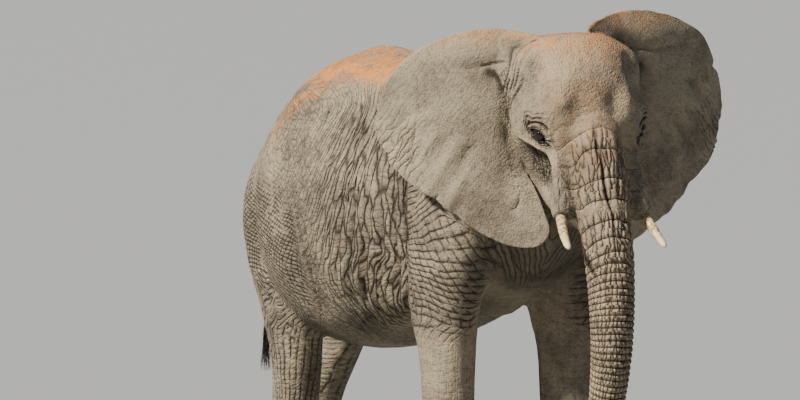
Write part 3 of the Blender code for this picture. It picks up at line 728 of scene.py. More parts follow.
class Places:
    """Where each point of the hide lies: in the body's, the head's, the ears' and the trunk's terms.

    Fields from 0 to 1 say what a point belongs to: `ear`, `trunk`, `skull` or `rest`. Within the
    rest they are `fore`, `hind` and `flank`, with `brick` for the woven skin of the thighs. On the
    skull, `root` is the skin beside an ear's root and `hollow` the hollow of the cheek.
    `out`, `up` and `front` are a place on an ear's sheet, in its own size. `along`, `turn`,
    `depth` and `rings` are one on the trunk. The cracks follow `across` and `lengthwise`.
    """

    def __init__(self, points):
        self.points = points
        self.body = points + np.array((CENTRE[0], CENTRE[1], 0))
        self.head = moved(points, head_frame().inverted())
        self.upright = moved(points, head_frame(0.0).inverted())
        self.side = np.abs(self.head[:, 0])
        self.find_ears()
        self.find_trunk()
        self.find_regions()
        self.find_cheek()
        self.find_weave()

    def find_ears(self):
        """Place on each ear's sheet, and how surely a point is on one."""
        self.out = np.zeros(len(self.points))
        self.up = self.out.copy()
        self.front = self.out.copy()
        self.ear = self.out.copy()
        outline = smooth_rows(EAR_RIM[:EAR_FREE_ROWS], 6)[::-1]
        rim_bearing, rim_reach = ear_polar(outline[:, 0], outline[:, 1])
        for side in HANDS:
            out, up, front = ear_place(self.points, side)
            # near the sheet, inside its box, past its root and within its rim
            on = ramp(np.abs(front), 0.085, 0.045) * ramp(out, -0.30, -0.16)
            on *= ramp(np.abs(up), 0.72, 0.66) * ramp(out, 0.8, 0.75)
            on *= ramp(out + 0.3 * ramp(np.abs(up), 0.25, 0.5), -0.02, 0.06)
            bearing, reach = ear_polar(out, up)
            on *= ramp(reach - np.interp(bearing, rim_bearing, rim_reach), 0.025, 0.008)
            nearer = on > self.ear
            self.out = np.where(nearer, out, self.out)
            self.up = np.where(nearer, up, self.up)
            self.front = np.where(nearer, front, self.front)
            self.ear = np.maximum(self.ear, on)
        self.ear_bearing, self.ear_reach = ear_polar(self.out, self.up)
        self.ear_across = 0.78 * self.out + 0.63 * self.up
        self.ear_along = 0.78 * self.up - 0.63 * self.out

    def find_trunk(self):
        """Distance along the trunk from its top, turn round it, and the count of its rings."""
        line = smooth_rows(TRUNK_LINE, 8)
        starts, ends = line[:-1, :3], line[1:, :3]
        spans = np.linalg.norm(ends - starts, axis=1)
        before = np.concatenate([[0], np.cumsum(spans)])
        best = np.full(len(self.points), 9.0)
        self.along = np.zeros(len(self.points))
        radius = np.zeros(len(self.points))
        for i, (start, end) in enumerate(zip(starts, ends)):
            direction = (end - start) / spans[i]
            t = (self.upright - start) @ direction
            t = np.clip(t, -9 if i == 0 else 0, 9 if i == len(starts) - 1 else spans[i])
            away = np.linalg.norm(self.upright - start - np.outer(t, direction), axis=1)
            nearer = away < best
            best = np.where(nearer, away, best)
            self.along = np.where(nearer, before[i] + t, self.along)
            radius = np.where(nearer, line[i, 3], radius)
        middle = np.stack([np.interp(self.along, before, line[:, k]) for k in range(3)], axis=1)
        self.turn = np.arctan2(self.upright[:, 0], middle[:, 1] - self.upright[:, 1])
        self.depth = middle[:, 1] - self.upright[:, 1]
        # the hanging part is all trunk, and above it only the front of the face is
        lower = ramp(self.along, 0.50, 0.62) * ramp(best / np.maximum(radius, 0.03), 1.55, 1.35)
        reach = np.interp(self.along, (0.1, 0.35, 0.5), (0.26, 0.23, 0.19))
        face = ramp(self.along, 0.05, 0.11) * ramp(self.depth, -0.005, 0.030)
        face *= ramp(np.abs(self.upright[:, 0]), reach, reach - 0.05) * (1 - ramp(self.along, 0.50, 0.62))
        self.trunk = np.clip(np.maximum(lower, face), 0, 1) * (1 - self.ear)
        lower_rings = FIRST_RINGS[-1] + RING_SPACING * np.arange(1, 80)
        places = np.array((FIRST_RINGS[0] - 0.12, *FIRST_RINGS, *lower_rings))
        widths = np.gradient(places)
        self.ring_width = np.interp(self.along, places, widths)
        # the rings hang lower at the trunk's sides, and wander a little
        droop = 0.035 * ramp(self.along, 1.4, 0.6) + 0.065 * ramp(self.along, 0.60, 0.10)
        wander = 0.16 * lumps(self.upright, (0.16, 0.16, 0.20), 21) * self.ring_width
        wander += 0.08 * lumps(self.upright, (0.05, 0.05, 0.06), 22) * self.ring_width
        lowered = self.along - droop * (1 - np.cos(self.turn)) + wander
        self.rings = np.interp(lowered, places, np.arange(len(places)))
        self.ringed = ramp(self.rings, 0.35, 1.0) * (0.45 + 0.55 * ramp(self.rings, 0.9, 2.3))

    def find_regions(self):
        """How much each kind of skin holds at a point."""
        x, y, z = self.body.T
        _, hy, hz = self.head.T
        wide = np.abs(x)
        # the head ends at the throat, whose edge runs down and forwards
        throat = hy + 0.5 * np.maximum(0, -0.12 - hz)
        on_head = ramp(throat, 0.50, 0.38) * ramp(hz, -0.70, -0.60) * (1 - self.trunk)
        self.skull = on_head * (1 - self.ear)
        self.rest = (1 - on_head) * (1 - self.trunk) * (1 - self.ear)
        self.fore = ramp(y, -0.60, -0.64) * self.rest
        # the thigh's front edge bows forwards between the knee and the hip
        thigh_edge = np.interp(z, (1.10, 1.37, 1.58, 1.77, 1.95), (0.24, 0.10, 0.12, 0.23, 0.50))
        self.past_thigh = y - thigh_edge
        self.hind = ramp(self.past_thigh, -0.01, 0.04) * self.rest
        side = ramp(wide, 0.15, 0.40)
        self.flank = self.rest * (1 - self.fore) * (1 - self.hind) * side * ramp(z, 2.50, 2.22)
        self.brick = self.hind * ramp(z, 1.96, 1.80) * ramp(z, 0.45, 0.65)
        # where the lines lie: shoulders, lower legs, knees, ankles, breast and the flanks' front
        plaid = self.fore * ramp(z, 2.35, 2.20) * ramp(z, 1.08, 1.20) * ramp(wide, 0.20, 0.34)
        legs = self.rest * ramp(z, 1.2, 1.0)
        joints = (self.fore + self.hind) * bell(z, 0.66, 0.14)
        ankles = self.rest * ramp(z, 0.48, 0.28) * ramp(z, 0.10, 0.20)
        chest = self.rest * ramp(y, -0.98, -1.06) * ramp(wide, 0.42, 0.30) * ramp(z, 1.0, 1.2)
        front_flank = self.flank * (0.42 + 0.58 * ramp(y, 0.15, -0.30))
        level = 0.90 * self.brick * ramp(z, 1.1, 1.3)
        upright = 0.75 * plaid * ramp(z, 1.90, 1.62)
        self.rows = most(0.95 * plaid, level, 0.35 * self.brick, 0.35 * joints, 0.5 * ankles)
        self.columns = most(upright, 0.85 * self.brick, 0.10 * legs)
        self.long_lines = most(
            front_flank, 0.15 * plaid, 0.25 * self.brick, 0.16 * legs, 0.7 * chest
        )
        self.cross_lines = most(
            *(0.30 * self.flank, 0.20 * plaid, 0.22 * self.brick),
            *(0.16 * legs, 0.35 * joints, 0.4 * ankles),
        )
        # distance behind the main crease of the ear's root
        crease = smooth_rows([(0, *place) for place in EAR_ROOT_FOLDS[0][2][::-1]], 6)
        self.from_root = hy - np.interp(hz, crease[:, 2], crease[:, 1])
        root = ramp(hz, -0.30, -0.18) * ramp(hz, 0.42, 0.33) * ramp(self.side, 0.22, 0.28)
        root *= ramp(self.side, 0.46, 0.42) * (1 - self.trunk)
        self.root = root * ramp(self.from_root, -0.16, -0.05) * ramp(self.from_root, 0.03, 0.01)
        self.root_line = root * ramp(np.abs(self.from_root), 0.05, 0.03)

    def find_cheek(self):
        """The hollow below the eye: behind the tusk's root, under the lower lid's ridges."""
        y, z = self.head[:, 1], self.head[:, 2]
        levels = (-0.33, -0.236, -0.169, -0.128, -0.094)
        front_edge = np.interp(z, levels, (-0.185, -0.149, -0.113, -0.069, -0.029))
        back_edge = np.interp(z, (-0.245, -0.163, -0.065), (0.255, 0.235, 0.205))
        ridge = np.interp(y, (-0.02, 0.18), (-0.094, -0.022))
        self.behind_root = y - front_edge
        hollow = ramp(self.behind_root, 0.0, 0.036) * ramp(back_edge - y, 0.0, 0.10)
        hollow *= ramp(ridge - z, 0.0, 0.030) * ramp(z, -0.35, -0.22)
        self.hollow = hollow * ramp(self.side, 0.10, 0.16) * (1 - self.ear)

    def find_weave(self):
        """Flat coordinates that the lines of the skin follow: across them, and along them."""
        x, y, z = self.body.T
        wide = np.maximum(np.abs(x), 0.02)
        # across: along the body, and on round the breast and the rump
        across = np.where(y < -0.80, -0.80 - 0.50 * np.arctan2(-0.80 - y, wide), y)
        across = np.where(y > 0.80, 0.80 + 0.45 * np.arctan2(y - 0.80, wide), across)
        # lengthwise: the way down round the barrel, and plain height on the legs
        girth = 1.60 + 0.72 * (np.pi / 2 - np.arctan2(wide, z - 1.60))
        fore_leg = ramp(z, 1.30, 1.05) * ramp(y, -0.45, -0.55)
        hind_leg = ramp(z, 1.30, 1.05) * ramp(y, 0.40, 0.50)
        barrel = ramp(np.abs(y), 0.95, 0.75) * (1 - fore_leg) * (1 - hind_leg)
        along = z + barrel * (girth - z)
        for leg, middle in ((fore_leg, -0.80), (hind_leg, 0.75)):
            round_leg = middle + 0.17 * np.arctan2(y - middle, wide - 0.30)
            across = across + leg * (round_leg - across)
        # the lines slant on the flanks and the thighs, and rise towards the neck on the shoulders
        front_slant = 0.05 * (along - 1.5) - 0.6 * np.maximum(0, 1.50 - along)
        rear_slant = 1.00 * np.sqrt((along - 1.38) ** 2 + 0.01)
        share = ramp(across, -0.50, 0.30)
        slant = front_slant + share * (rear_slant - front_slant)
        rising = np.interp(along, (1.50, 1.95), (0.0, 0.55))
        shoulder = self.fore * ramp(along, 1.05, 1.2)
        side = ramp(wide, 0.15, 0.40)
        slanted = (self.flank + self.hind * side * ramp(z, 1.05, 1.30)) * slant
        self.across = across + slanted - 0.45 * shoulder * (along - 1.5)
        falling = 0.30 * self.hind * ramp(z, 1.1, 1.3) * (across - 0.15)
        self.lengthwise = along + shoulder * rising * (across + 0.62) - falling
        on_head = self.skull > 0.5
        hx, hy, hz = self.head.T
        self.across = np.where(on_head, 0.34 * np.arctan2(hx, 0.25 - hy), self.across)
        self.across = np.where((self.root > 0.05) & on_head, self.from_root, self.across)
        self.lengthwise = np.where(on_head, hz, self.lengthwise)


# ---------------------------------------------------------------- the hide's folds
def trunk_folds(at):
    """The rings across the trunk, far apart above, with upright blocks between them."""
    apart = np.abs(at.rings - np.round(at.rings)) * at.ring_width
    front = 0.55 + 0.45 * ramp(at.depth, -0.05, 0.04)
    depth = np.interp(at.ring_width, (0.03, 0.05, 0.12), (0.0042, 0.0070, 0.0075)) * front
    width = np.interp(at.ring_width, (0.03, 0.12), (0.0055, 0.0085))
    fold = -depth * np.exp(-((apart / width) ** 2)) + 0.5 * depth * ramp(apart, 0, at.ring_width * 0.45)
    fold *= at.ringed
    ring = np.floor(at.rings + 0.5)
    place = np.c_[at.turn * 0.13, ring * 0.37, at.along * 0.30]
    split = np.abs(lumps(place, (0.036, 0.2, 0.09), 31))
    wide = ramp(at.ring_width, 0.033, 0.075)
    blocks = (-np.exp(-((split / 0.16) ** 2)) + 0.35) * (0.0012 + 0.0050 * wide)
    past_ring = at.rings - np.floor(at.rings)
    half = np.abs(past_ring - 0.5 + 0.12 * lumps(at.upright, 0.07, 33)) * at.ring_width
    between = -0.0030 * np.exp(-((half / 0.006) ** 2)) * wide
    blocks *= at.ringed * ramp(at.rings, 0.85, 1.15)
    deep = -0.012 * middle_line(at)
    return at.trunk * (fold + (blocks + between) * ramp(at.depth, -0.02, 0.04)) + deep * (1 - at.ear)


def middle_line(at):
    """The deep upright groove down the front of the trunk's upper half, 0 to 1."""
    line = (
        *((-0.034, 0.035), (-0.036, -0.035), (-0.037, -0.10), (-0.024, -0.15)),
        *((-0.024, -0.24), (-0.015, -0.32), (0.004, -0.43), (-0.012, -0.56)),
    )
    return stroke(at.upright[:, ::2], line, 0.0085) * ramp(at.depth, 0.04, 0.09)


EAR_ROOT_FOLDS = (
    # depth, reach, and the way of each upright fold beside the ear's root: backwards, upwards
    (0.024, 0.012, (
        *((0.335, 0.345), (0.300, 0.235), (0.286, 0.13), (0.290, 0.04)),
        *((0.296, -0.04), (0.287, -0.14), (0.276, -0.24)),
    )),
    (0.014, 0.007, (
        *((0.27, 0.45), (0.255, 0.40), (0.24, 0.355), (0.235, 0.305), (0.262, 0.235), (0.29, 0.18)),
    )),
    (0.014, 0.007, ((0.17, 0.462), (0.203, 0.435), (0.205, 0.395), (0.187, 0.343), (0.19, 0.276))),
    (0.015, 0.007, (
        *((0.19, 0.276), (0.235, 0.224), (0.265, 0.153), (0.264, 0.08), (0.268, 0.0), (0.27, -0.07)),
    )),
    (0.012, 0.006, ((0.165, 0.385), (0.146, 0.33), (0.148, 0.275), (0.18, 0.228), (0.222, 0.18))),
    (0.013, 0.006, ((0.222, 0.18), (0.245, 0.12), (0.246, 0.04), (0.25, -0.04))),
    (0.010, 0.006, ((0.15, 0.43), (0.108, 0.372), (0.104, 0.308), (0.128, 0.248), (0.19, 0.185))),
    (0.011, 0.006, ((0.19, 0.185), (0.226, 0.12), (0.224, 0.04), (0.228, -0.03))),
    (0.008, 0.006, ((0.075, 0.30), (0.085, 0.24), (0.13, 0.19), (0.19, 0.14), (0.206, 0.07))),
)


def cheek_side(at):
    """1 on the sides of the head, between the trunk and the ear."""
    near = ramp(at.side, 0.12, 0.20) * ramp(at.side, 0.46, 0.40)
    return near * ramp(at.head[:, 1], 0.5, 0.42) * (1 - at.trunk)


def root_lines(at):
    """How deep the upright folds beside the ear's root are."""
    return sum(depth * stroke(at.head[:, 1:], line, reach) for depth, reach, line in EAR_ROOT_FOLDS)


def cheek_lines(at):
    """How deep the folds in the hollow of the cheek are: steep ones behind, slanting ones in front."""
    flat = at.head[:, 1:]
    total = np.zeros(len(flat))
    for i in range(6):
        start = 0.070 + 0.024 * i
        line = ((start, -0.075), (start + 0.012, -0.14), (start + 0.010, -0.21), (start - 0.02, -0.29))
        total += 0.0065 * stroke(flat, line, 0.006)
    for i in range(8):
        back, top = 0.075 - 0.006 * i, -0.080 - 0.019 * i
        line = ((back, top), (back - 0.065, top - 0.030), (back - 0.130, top - 0.070))
        total += 0.0075 * stroke(flat, line, 0.0055)
    return total


def head_folds(at):
    """Folds at the ears' roots, on the temples, under the eyes and on the lips."""
    y, z = at.head[:, 1], at.head[:, 2]
    flat = at.head[:, 1:]
    near = cheek_side(at)
    total = -root_lines(at)
    # small folds that cross the upper temple
    cross = bell(y, 0.255, 0.05) * bell(z, 0.27, 0.06)
    total += 0.005 * cross * np.abs(lumps(at.head, (9, 0.022, 0.022), 81))
    total -= cheek_lines(at)
    # ridges under the lower lid
    for shift, height in ((0.0, 0.0060), (-0.020, 0.0045)):
        ridge = ((0.180, -0.016), (0.105, -0.038), (0.04, -0.066), (-0.022, -0.094))
        line = [(back, up + shift) for back, up in ridge]
        total += height * stroke(flat, line, 0.0055)
    mouth = ((-0.045, -0.485), (0.01, -0.40), (0.06, -0.335), (0.12, -0.275), (0.17, -0.24))
    total -= 0.016 * stroke(flat, mouth, 0.011) * ramp(at.side, 0.05, 0.10)
    total -= 0.030 * at.hollow
    # the upright column before the hollow, which holds the tusk's root
    column = bell(at.behind_root, -0.020, 0.024) * ramp(z, -0.40, -0.30) * ramp(z, -0.07, -0.11)
    total += 0.010 * column * ramp(at.side, 0.14, 0.20)
    forehead = ramp(at.side, 0.30, 0.22) * ramp(y, 0.1, 0.0) * at.skull
    pits = 0.0035 * lumps(at.head, 0.075, 83) + 0.0018 * lumps(at.head, 0.034, 84)
    return total * near * (1 - 0.7 * at.ear) + pits * forehead


EAR_FOLDS = (
    # depth, reach, and the way of each fold on the ear's sheet: outwards, upwards
    (0.018, 0.017, ((0.574, 0.029), (0.486, 0.100), (0.416, 0.123), (0.326, 0.166))),
    (0.018, 0.018, ((0.504, -0.037), (0.417, -0.003), (0.321, 0.045))),
    (0.022, 0.026, ((0.235, 0.027), (0.300, -0.042), (0.334, -0.102), (0.380, -0.180))),
    (0.015, 0.016, ((0.403, -0.029), (0.455, -0.119), (0.479, -0.175))),
    (0.012, 0.015, ((0.523, 0.156), (0.430, 0.174))),
    (0.012, 0.020, ((0.150, -0.050), (0.210, -0.130), (0.250, -0.240))),
    (0.010, 0.010, ((-0.06, 0.345), (0.04, 0.335), (0.13, 0.320), (0.24, 0.325), (0.34, 0.350))),
    (0.009, 0.007, ((-0.115, -0.24), (-0.066, -0.354), (-0.03, -0.41), (0.01, -0.44))),
)
EAR_VEINS = (
    (0.006, 0.008, ((0.375, -0.274), (0.326, -0.158), (0.305, -0.143), (0.250, -0.190), (0.208, -0.151))),
    (0.007, 0.007, ((-0.100, -0.25), (-0.051, -0.357), (-0.012, -0.415))),
    (0.005, 0.010, ((0.20, -0.24), (0.26, -0.32), (0.29, -0.42))),
)


def ear_lines(at, lines):
    """How deep or high some lines on the ears' front faces are."""
    sheet = np.c_[at.out, at.up]
    total = sum(depth * stroke(sheet, line, reach) for depth, reach, line in lines)
    return total * (at.front > 0) * at.ear


def ear_folds(at):
    """Soft slanting folds towards the ear's outer edge, veins, and a crease at its top."""
    place = np.c_[at.ear_across, at.ear_along, np.sign(at.head[:, 0])]
    outer = ramp(at.out, 0.10, 0.34) * ramp(at.up, 0.24, 0.08)
    edge = ramp(at.out, 0.40, 0.52) * bell(at.up, -0.06, 0.14)
    # the last coordinate tells the ears apart, so that each has lumps of its own
    ribs = lumps(place, (0.060, 0.24, 3), 41) * (0.004 + 0.010 * outer)
    ribs += lumps(place, (0.024, 0.14, 3), 42) * (0.0012 + 0.0055 * edge)
    ribs *= ramp(at.ear_reach, 0.18, 0.34)
    ribs += ear_lines(at, EAR_VEINS) - ear_lines(at, EAR_FOLDS)
    wide = np.c_[at.ear_bearing * 0.9, at.ear_reach, np.sign(at.head[:, 0])]
    wave = 0.014 * lumps(wide, (0.22, 0.30, 3), 44) * ramp(at.ear_reach, 0.35, 0.6)
    return at.ear * ribs, at.ear * wave * np.sign(at.front)


def body_folds(at):
    """Long wavy folds down the flanks, and level ones across the shoulders."""
    drift = np.stack([lumps(at.body, 0.16, 50 + k) for k in range(2)], axis=1) * 0.035
    flat = np.c_[at.across, at.lengthwise] + drift
    rows = np.flatnonzero(at.rest > 0.02)
    total = np.zeros(len(flat))
    long_folds = cells(flat[rows], (0.078, 0.42), 61)
    front_flank = at.flank * ramp(at.body[:, 1], 0.3, -0.25)
    total[rows] += 0.010 * front_flank[rows] * (ramp(long_folds, 0, 0.8) - 0.6)
    level = cells(flat[rows], (0.30, 0.074), 64)
    shoulder = at.fore * ramp(at.body[:, 2], 1.95, 1.75) * ramp(at.body[:, 2], 1.0, 1.15)
    total[rows] += 0.003 * shoulder[rows] * (ramp(level, 0, 0.7) - 0.6)
    return total


def strokes_on_body(at):
    """The great creases: behind the elbow, before the thigh, and the bones of the spine."""
    y, z = at.body[:, 1], at.body[:, 2]
    flat = at.body[:, 1:]
    side = at.rest * ramp(np.abs(at.body[:, 0]), 0.12, 0.2)
    total = np.zeros(len(y))
    elbow = ((-0.70, 1.20), (-0.66, 1.36), (-0.615, 1.50), (-0.62, 1.71), (-0.62, 1.95), (-0.60, 2.12))
    total -= 0.020 * stroke(flat, elbow, 0.015)
    for i in range(5):
        # curtain folds behind the elbow that swing back to the belly
        curtain = ((-0.36, 1.18), (-0.43, 1.34), (-0.50, 1.50), (-0.555, 1.71), (-0.545, 1.98))
        line = [(back + 0.085 * i, up) for back, up in curtain]
        total -= (0.015 - 0.002 * i) * stroke(flat, line, 0.014)
    for i in range(3):
        # folds before the thigh
        thigh = ((0.22, 0.06, 1.10), (0.095, 0.05, 1.37), (0.11, 0.05, 1.58), (0.21, 0.06, 1.80))
        line = [(back - apart * i, up) for back, apart, up in thigh]
        total -= (0.022 - 0.006 * i) * stroke(flat, line, 0.018)
    spine = bell(at.body[:, 0], 0, 0.035) * ramp(z, 2.3, 2.4)
    total += 0.007 * spine * np.cos(2 * np.pi * y / 0.105) * ramp(y, -0.9, -0.6)
    return total * side


def eye_frame(side):
    """An eye's centre, and its outward, inner-corner and upward directions."""
    low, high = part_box("eye_" + side)
    centre = (low + high) / 2
    turn = head_frame().to_3x3()
    out = (turn @ Vector((HANDS[side] * 0.93, -0.30, -0.16))).normalized()
    tilt = turn @ Vector((0, -0.78, -0.58))  # along the lids towards the inner corner
    fore = (tilt - out * tilt.dot(out)).normalized()
    up = out.cross(fore)
    if up.z < 0:
        up = -up
    return centre, out, fore, up


def half_opening(u, v):
    """Half the gap between the lids at a place along them, above or below their line."""
    shape = np.maximum(0, 1 - (u / EYE_HALF_LENGTH) ** 2) ** 0.8
    return np.where(v > 0, UPPER_LID, LOWER_LID) * shape


def eye_terms(points, side):
    """Points near an eye: their rows, and along, above, outward of it and away from its gap."""
    centre, out, fore, up = eye_frame(side)
    rows = np.flatnonzero(np.linalg.norm(points - np.array(centre), axis=1) < EYE_REACH)
    away = points[rows] - np.array(centre)
    u, v, w = away @ np.array(fore), away @ np.array(up), away @ np.array(out)
    beyond = np.maximum(np.abs(u) - EYE_HALF_LENGTH, 0)
    gap = np.hypot(np.maximum(np.abs(v) - half_opening(u, v), 0), beyond)
    return rows, u, v, w, gap


def lid_lines(u, v, gap):
    """How deep the folds round an eye are: over it, beside it, under it and at its inner corner."""
    upper = ramp(v, -0.012, 0.008)
    outer = ramp(u, 0.02, -0.03)
    ring = gap * (1 - 0.35 * ramp(v, 0.01, 0.05))
    total = 0.0130 * bell(ring, 0.029, 0.0046) * np.maximum(upper, outer) * ramp(u, 0.055, 0.03)
    total += 0.0095 * bell(ring, 0.045, 0.0044) * outer * ramp(v, -0.025, 0.005)
    total += 0.0050 * bell(ring, 0.060, 0.0040) * outer * ramp(v, -0.03, 0.0)
    total += 0.0065 * bell(gap, 0.017, 0.0030) * (1 - upper)
    total += 0.0075 * bell(gap, 0.028, 0.0032) * (1 - upper)
    total += 0.0040 * bell(gap, 0.040, 0.0030) * (1 - upper)
    corner = np.exp(-(((u - 0.072) / 0.026) ** 2) - ((v + 0.002) / 0.034) ** 2)
    total += 0.0090 * corner * (0.5 - 0.5 * np.cos(np.arctan2(v, u - 0.035) * 11))
    return total


def lids(obj):
    """Shapes the lids over each eye, with their slit, rims and folds."""
    points = points_of(obj)
    sizes = bpy.context.scene.elephant_sizes
    ball, skin = sizes.eyeball_radius, sizes.lid_thickness
    for side in HANDS:
        rows, u, v, w, gap = eye_terms(points, side)
        radius = np.hypot(u * 0.92, v)
        dome = np.sqrt(np.maximum((ball + skin) ** 2 - radius**2, 0))
        fade = ramp(radius, ball * 1.85, ball * 1.0)
        cover = np.maximum(w, dome) * fade + w * (1 - fade)
        # a raised rim along the gap, a groove round it, and a swelling over the upper lid
        cover += 0.0025 * bell(gap, 0.0045, 0.0028)
        cover -= 0.0030 * bell(gap, 0.0115, 0.0022)
        swollen = gap * (1 - 0.35 * ramp(v, 0.01, 0.05))
        cover += 0.0045 * bell(swollen, 0.020, 0.0070) * ramp(v, -0.012, 0.008)
        cover -= lid_lines(u, v, gap)
        inside = (np.abs(v) < half_opening(u, v)) & (np.abs(u) < EYE_HALF_LENGTH)
        cover = np.where(inside, -0.004, cover)  # behind the eyeball's front, so that it shows
        points[rows] += np.outer(cover - w, np.array(eye_frame(side)[1]))
    set_points(obj, points)


def eye_distance(points, side):
    """How far points are from an eye's centre."""
    return np.linalg.norm(points - np.array(eye_frame(side)[0]), axis=1)


def near_eyes(points, reach):
    """True for points within reach of an eye's centre."""
    return (eye_distance(points, "right") < reach) | (eye_distance(points, "left") < reach)


def sculpted(body):
    """Adds forms and folds to the fused body, from large to small."""
    at = Places(points_of(body))
    # a finer grid for the head and the trunk, and a finer one again round the eyes
    first = (at.trunk > 0.05) | (at.skull > 0.3)
    first &= at.head[:, 1] < 0.42
    first |= (at.root > 0.05) | (at.root_line > 0.05)
    refined(body, first)
    for reach in EYE_GRIDS:
        refined(body, near_eyes(points_of(body), reach))
    at = Places(points_of(body))
    ribs, wave = ear_folds(at)
    total = trunk_folds(at) + head_folds(at) + ribs + body_folds(at) + strokes_on_body(at)
    total -= HIDE_SINK * (1 - at.ear)
    points = at.points + normals_of(body) * total[:, None]
    for side, hand in HANDS.items():
        _, _, facing = ear_axes(side)
        facing = np.array(head_frame().to_3x3() @ Vector(facing))
        points += np.outer(wave * (at.head[:, 0] * hand > 0), facing)
    set_points(body, points)
    lids(body)
    return body


def lightened(body):
    """Fewer, uneven triangles: small on the head and trunk, large on the flanks."""
    points = points_of(body)
    at = Places(points)
    # more of the grid is kept on the head, the ears' rims and roots, and most round the eyes
    keep = np.clip(0.35 * at.skull + 0.35 * at.trunk, 0, 1)
    sheet = np.c_[at.out, at.up]
    rim = [place[:2] for place in (*EAR_RIM, EAR_RIM[0])]
    edge = sum(stroke(sheet, rim[i : i + 3], 0.030) for i in range(0, len(rim) - 2, 2))
    keep = np.maximum(keep, np.clip(0.6 * edge, 0, 0.6) * at.ear)
    keep = np.maximum(keep, 0.6 * at.root)
    keep = np.maximum(keep, near_eyes(points, 0.08))
    group = body.vertex_groups.new(name="keep")
    for level in np.linspace(0.0, 1.0, 11):
        rows = np.flatnonzero(np.abs(keep - level) <= 0.05)
        group.add(rows.tolist(), float(1 - level), "REPLACE")
    triangles = sum(len(face.vertices) - 2 for face in body.data.polygons)
    finish_modifier(
        body,
        "DECIMATE",
        ratio=HIDE_TRIANGLES / triangles,
        vertex_group="keep",
        vertex_group_factor=0.6,
        use_collapse_triangulate=True,
    )
    body.vertex_groups.clear()
    return body


def kind_marks(at):
    """Which kind of skin a point has, and the flat coordinates that its lines follow."""
    flat = np.zeros(len(at.points))
    ear_across = at.ear_across + 7 * (at.head[:, 0] > 0)
    return {
        "trunk": at.trunk,
        "ear": at.ear,
        "brick": at.brick,
        "head": at.skull * (1 - 0.5 * at.ear),
        "pale": most(0.4 * at.skull, 0.5 * at.trunk, 0.4 * at.ear),
        "rings": at.rings,
        "ring_width": at.ring_width,
        "ringed": 0.8 * at.trunk * at.ringed,
        "rows": at.rows,
        "columns": at.columns,
        "weave": np.c_[at.across, at.lengthwise, flat],
        "trunk_weave": np.c_[at.turn * 0.12, at.along, flat],
        "ear_weave": np.c_[ear_across, at.ear_along, flat],
    }


def line_marks(at):
    """How deep the long, the cross and the even cracks are, and where they lie close together."""
    hz = at.head[:, 2]
    y, z = at.body[:, 1], at.body[:, 2]
    eyes = 0.35 * ramp(np.minimum(*(eye_distance(at.points, side) for side in HANDS)), 0.14, 0.08)
    detail = most(at.hollow, 0.5 * at.root, eyes)
    column = ramp(at.side, 0.15, 0.19) * ramp(at.side, 0.30, 0.27) * ramp(at.depth, -0.03, 0.01)
    column *= ramp(hz, -0.46, -0.40) * ramp(hz, -0.10, -0.18) * at.skull
    on_trunk = 0.75 * at.trunk * ramp(at.depth, -0.06, 0.0) * at.ringed * ramp(at.rings, 0.85, 1.15)
    along = most(at.long_lines, 0.9 * detail, on_trunk, 0.06 * at.skull, 0.40 * column)
    edge = ramp(at.out, 0.38, 0.50) * bell(at.up, -0.08, 0.18)
    lines = np.maximum(along * (1 - at.ear), (0.05 + 0.50 * edge) * at.ear)
    cross = np.maximum(at.cross_lines, 0.5 * detail)
    # no lines where the shader changes from one flow to another
    borders = ramp(np.abs(at.trunk - 0.5), 0.05, 0.40) * ramp(np.abs(at.ear - 0.5), 0.05, 0.40)
    even = 0.44 * at.rest * (1 - at.brick) * (1 - 0.7 * at.flank * ramp(y, 0.2, -0.2))
    even *= (1 - 0.8 * at.fore * ramp(z, 2.0, 1.7)) * (0.5 + 0.5 * ramp(z, 2.45, 2.30))
    return {
        "fine": most(at.hollow, at.root, column) + eyes,
        "long_lines": lines * borders,
        "cross_lines": cross * (1 - at.ear) * (1 - at.trunk) * borders,
        "even_lines": even,
    }


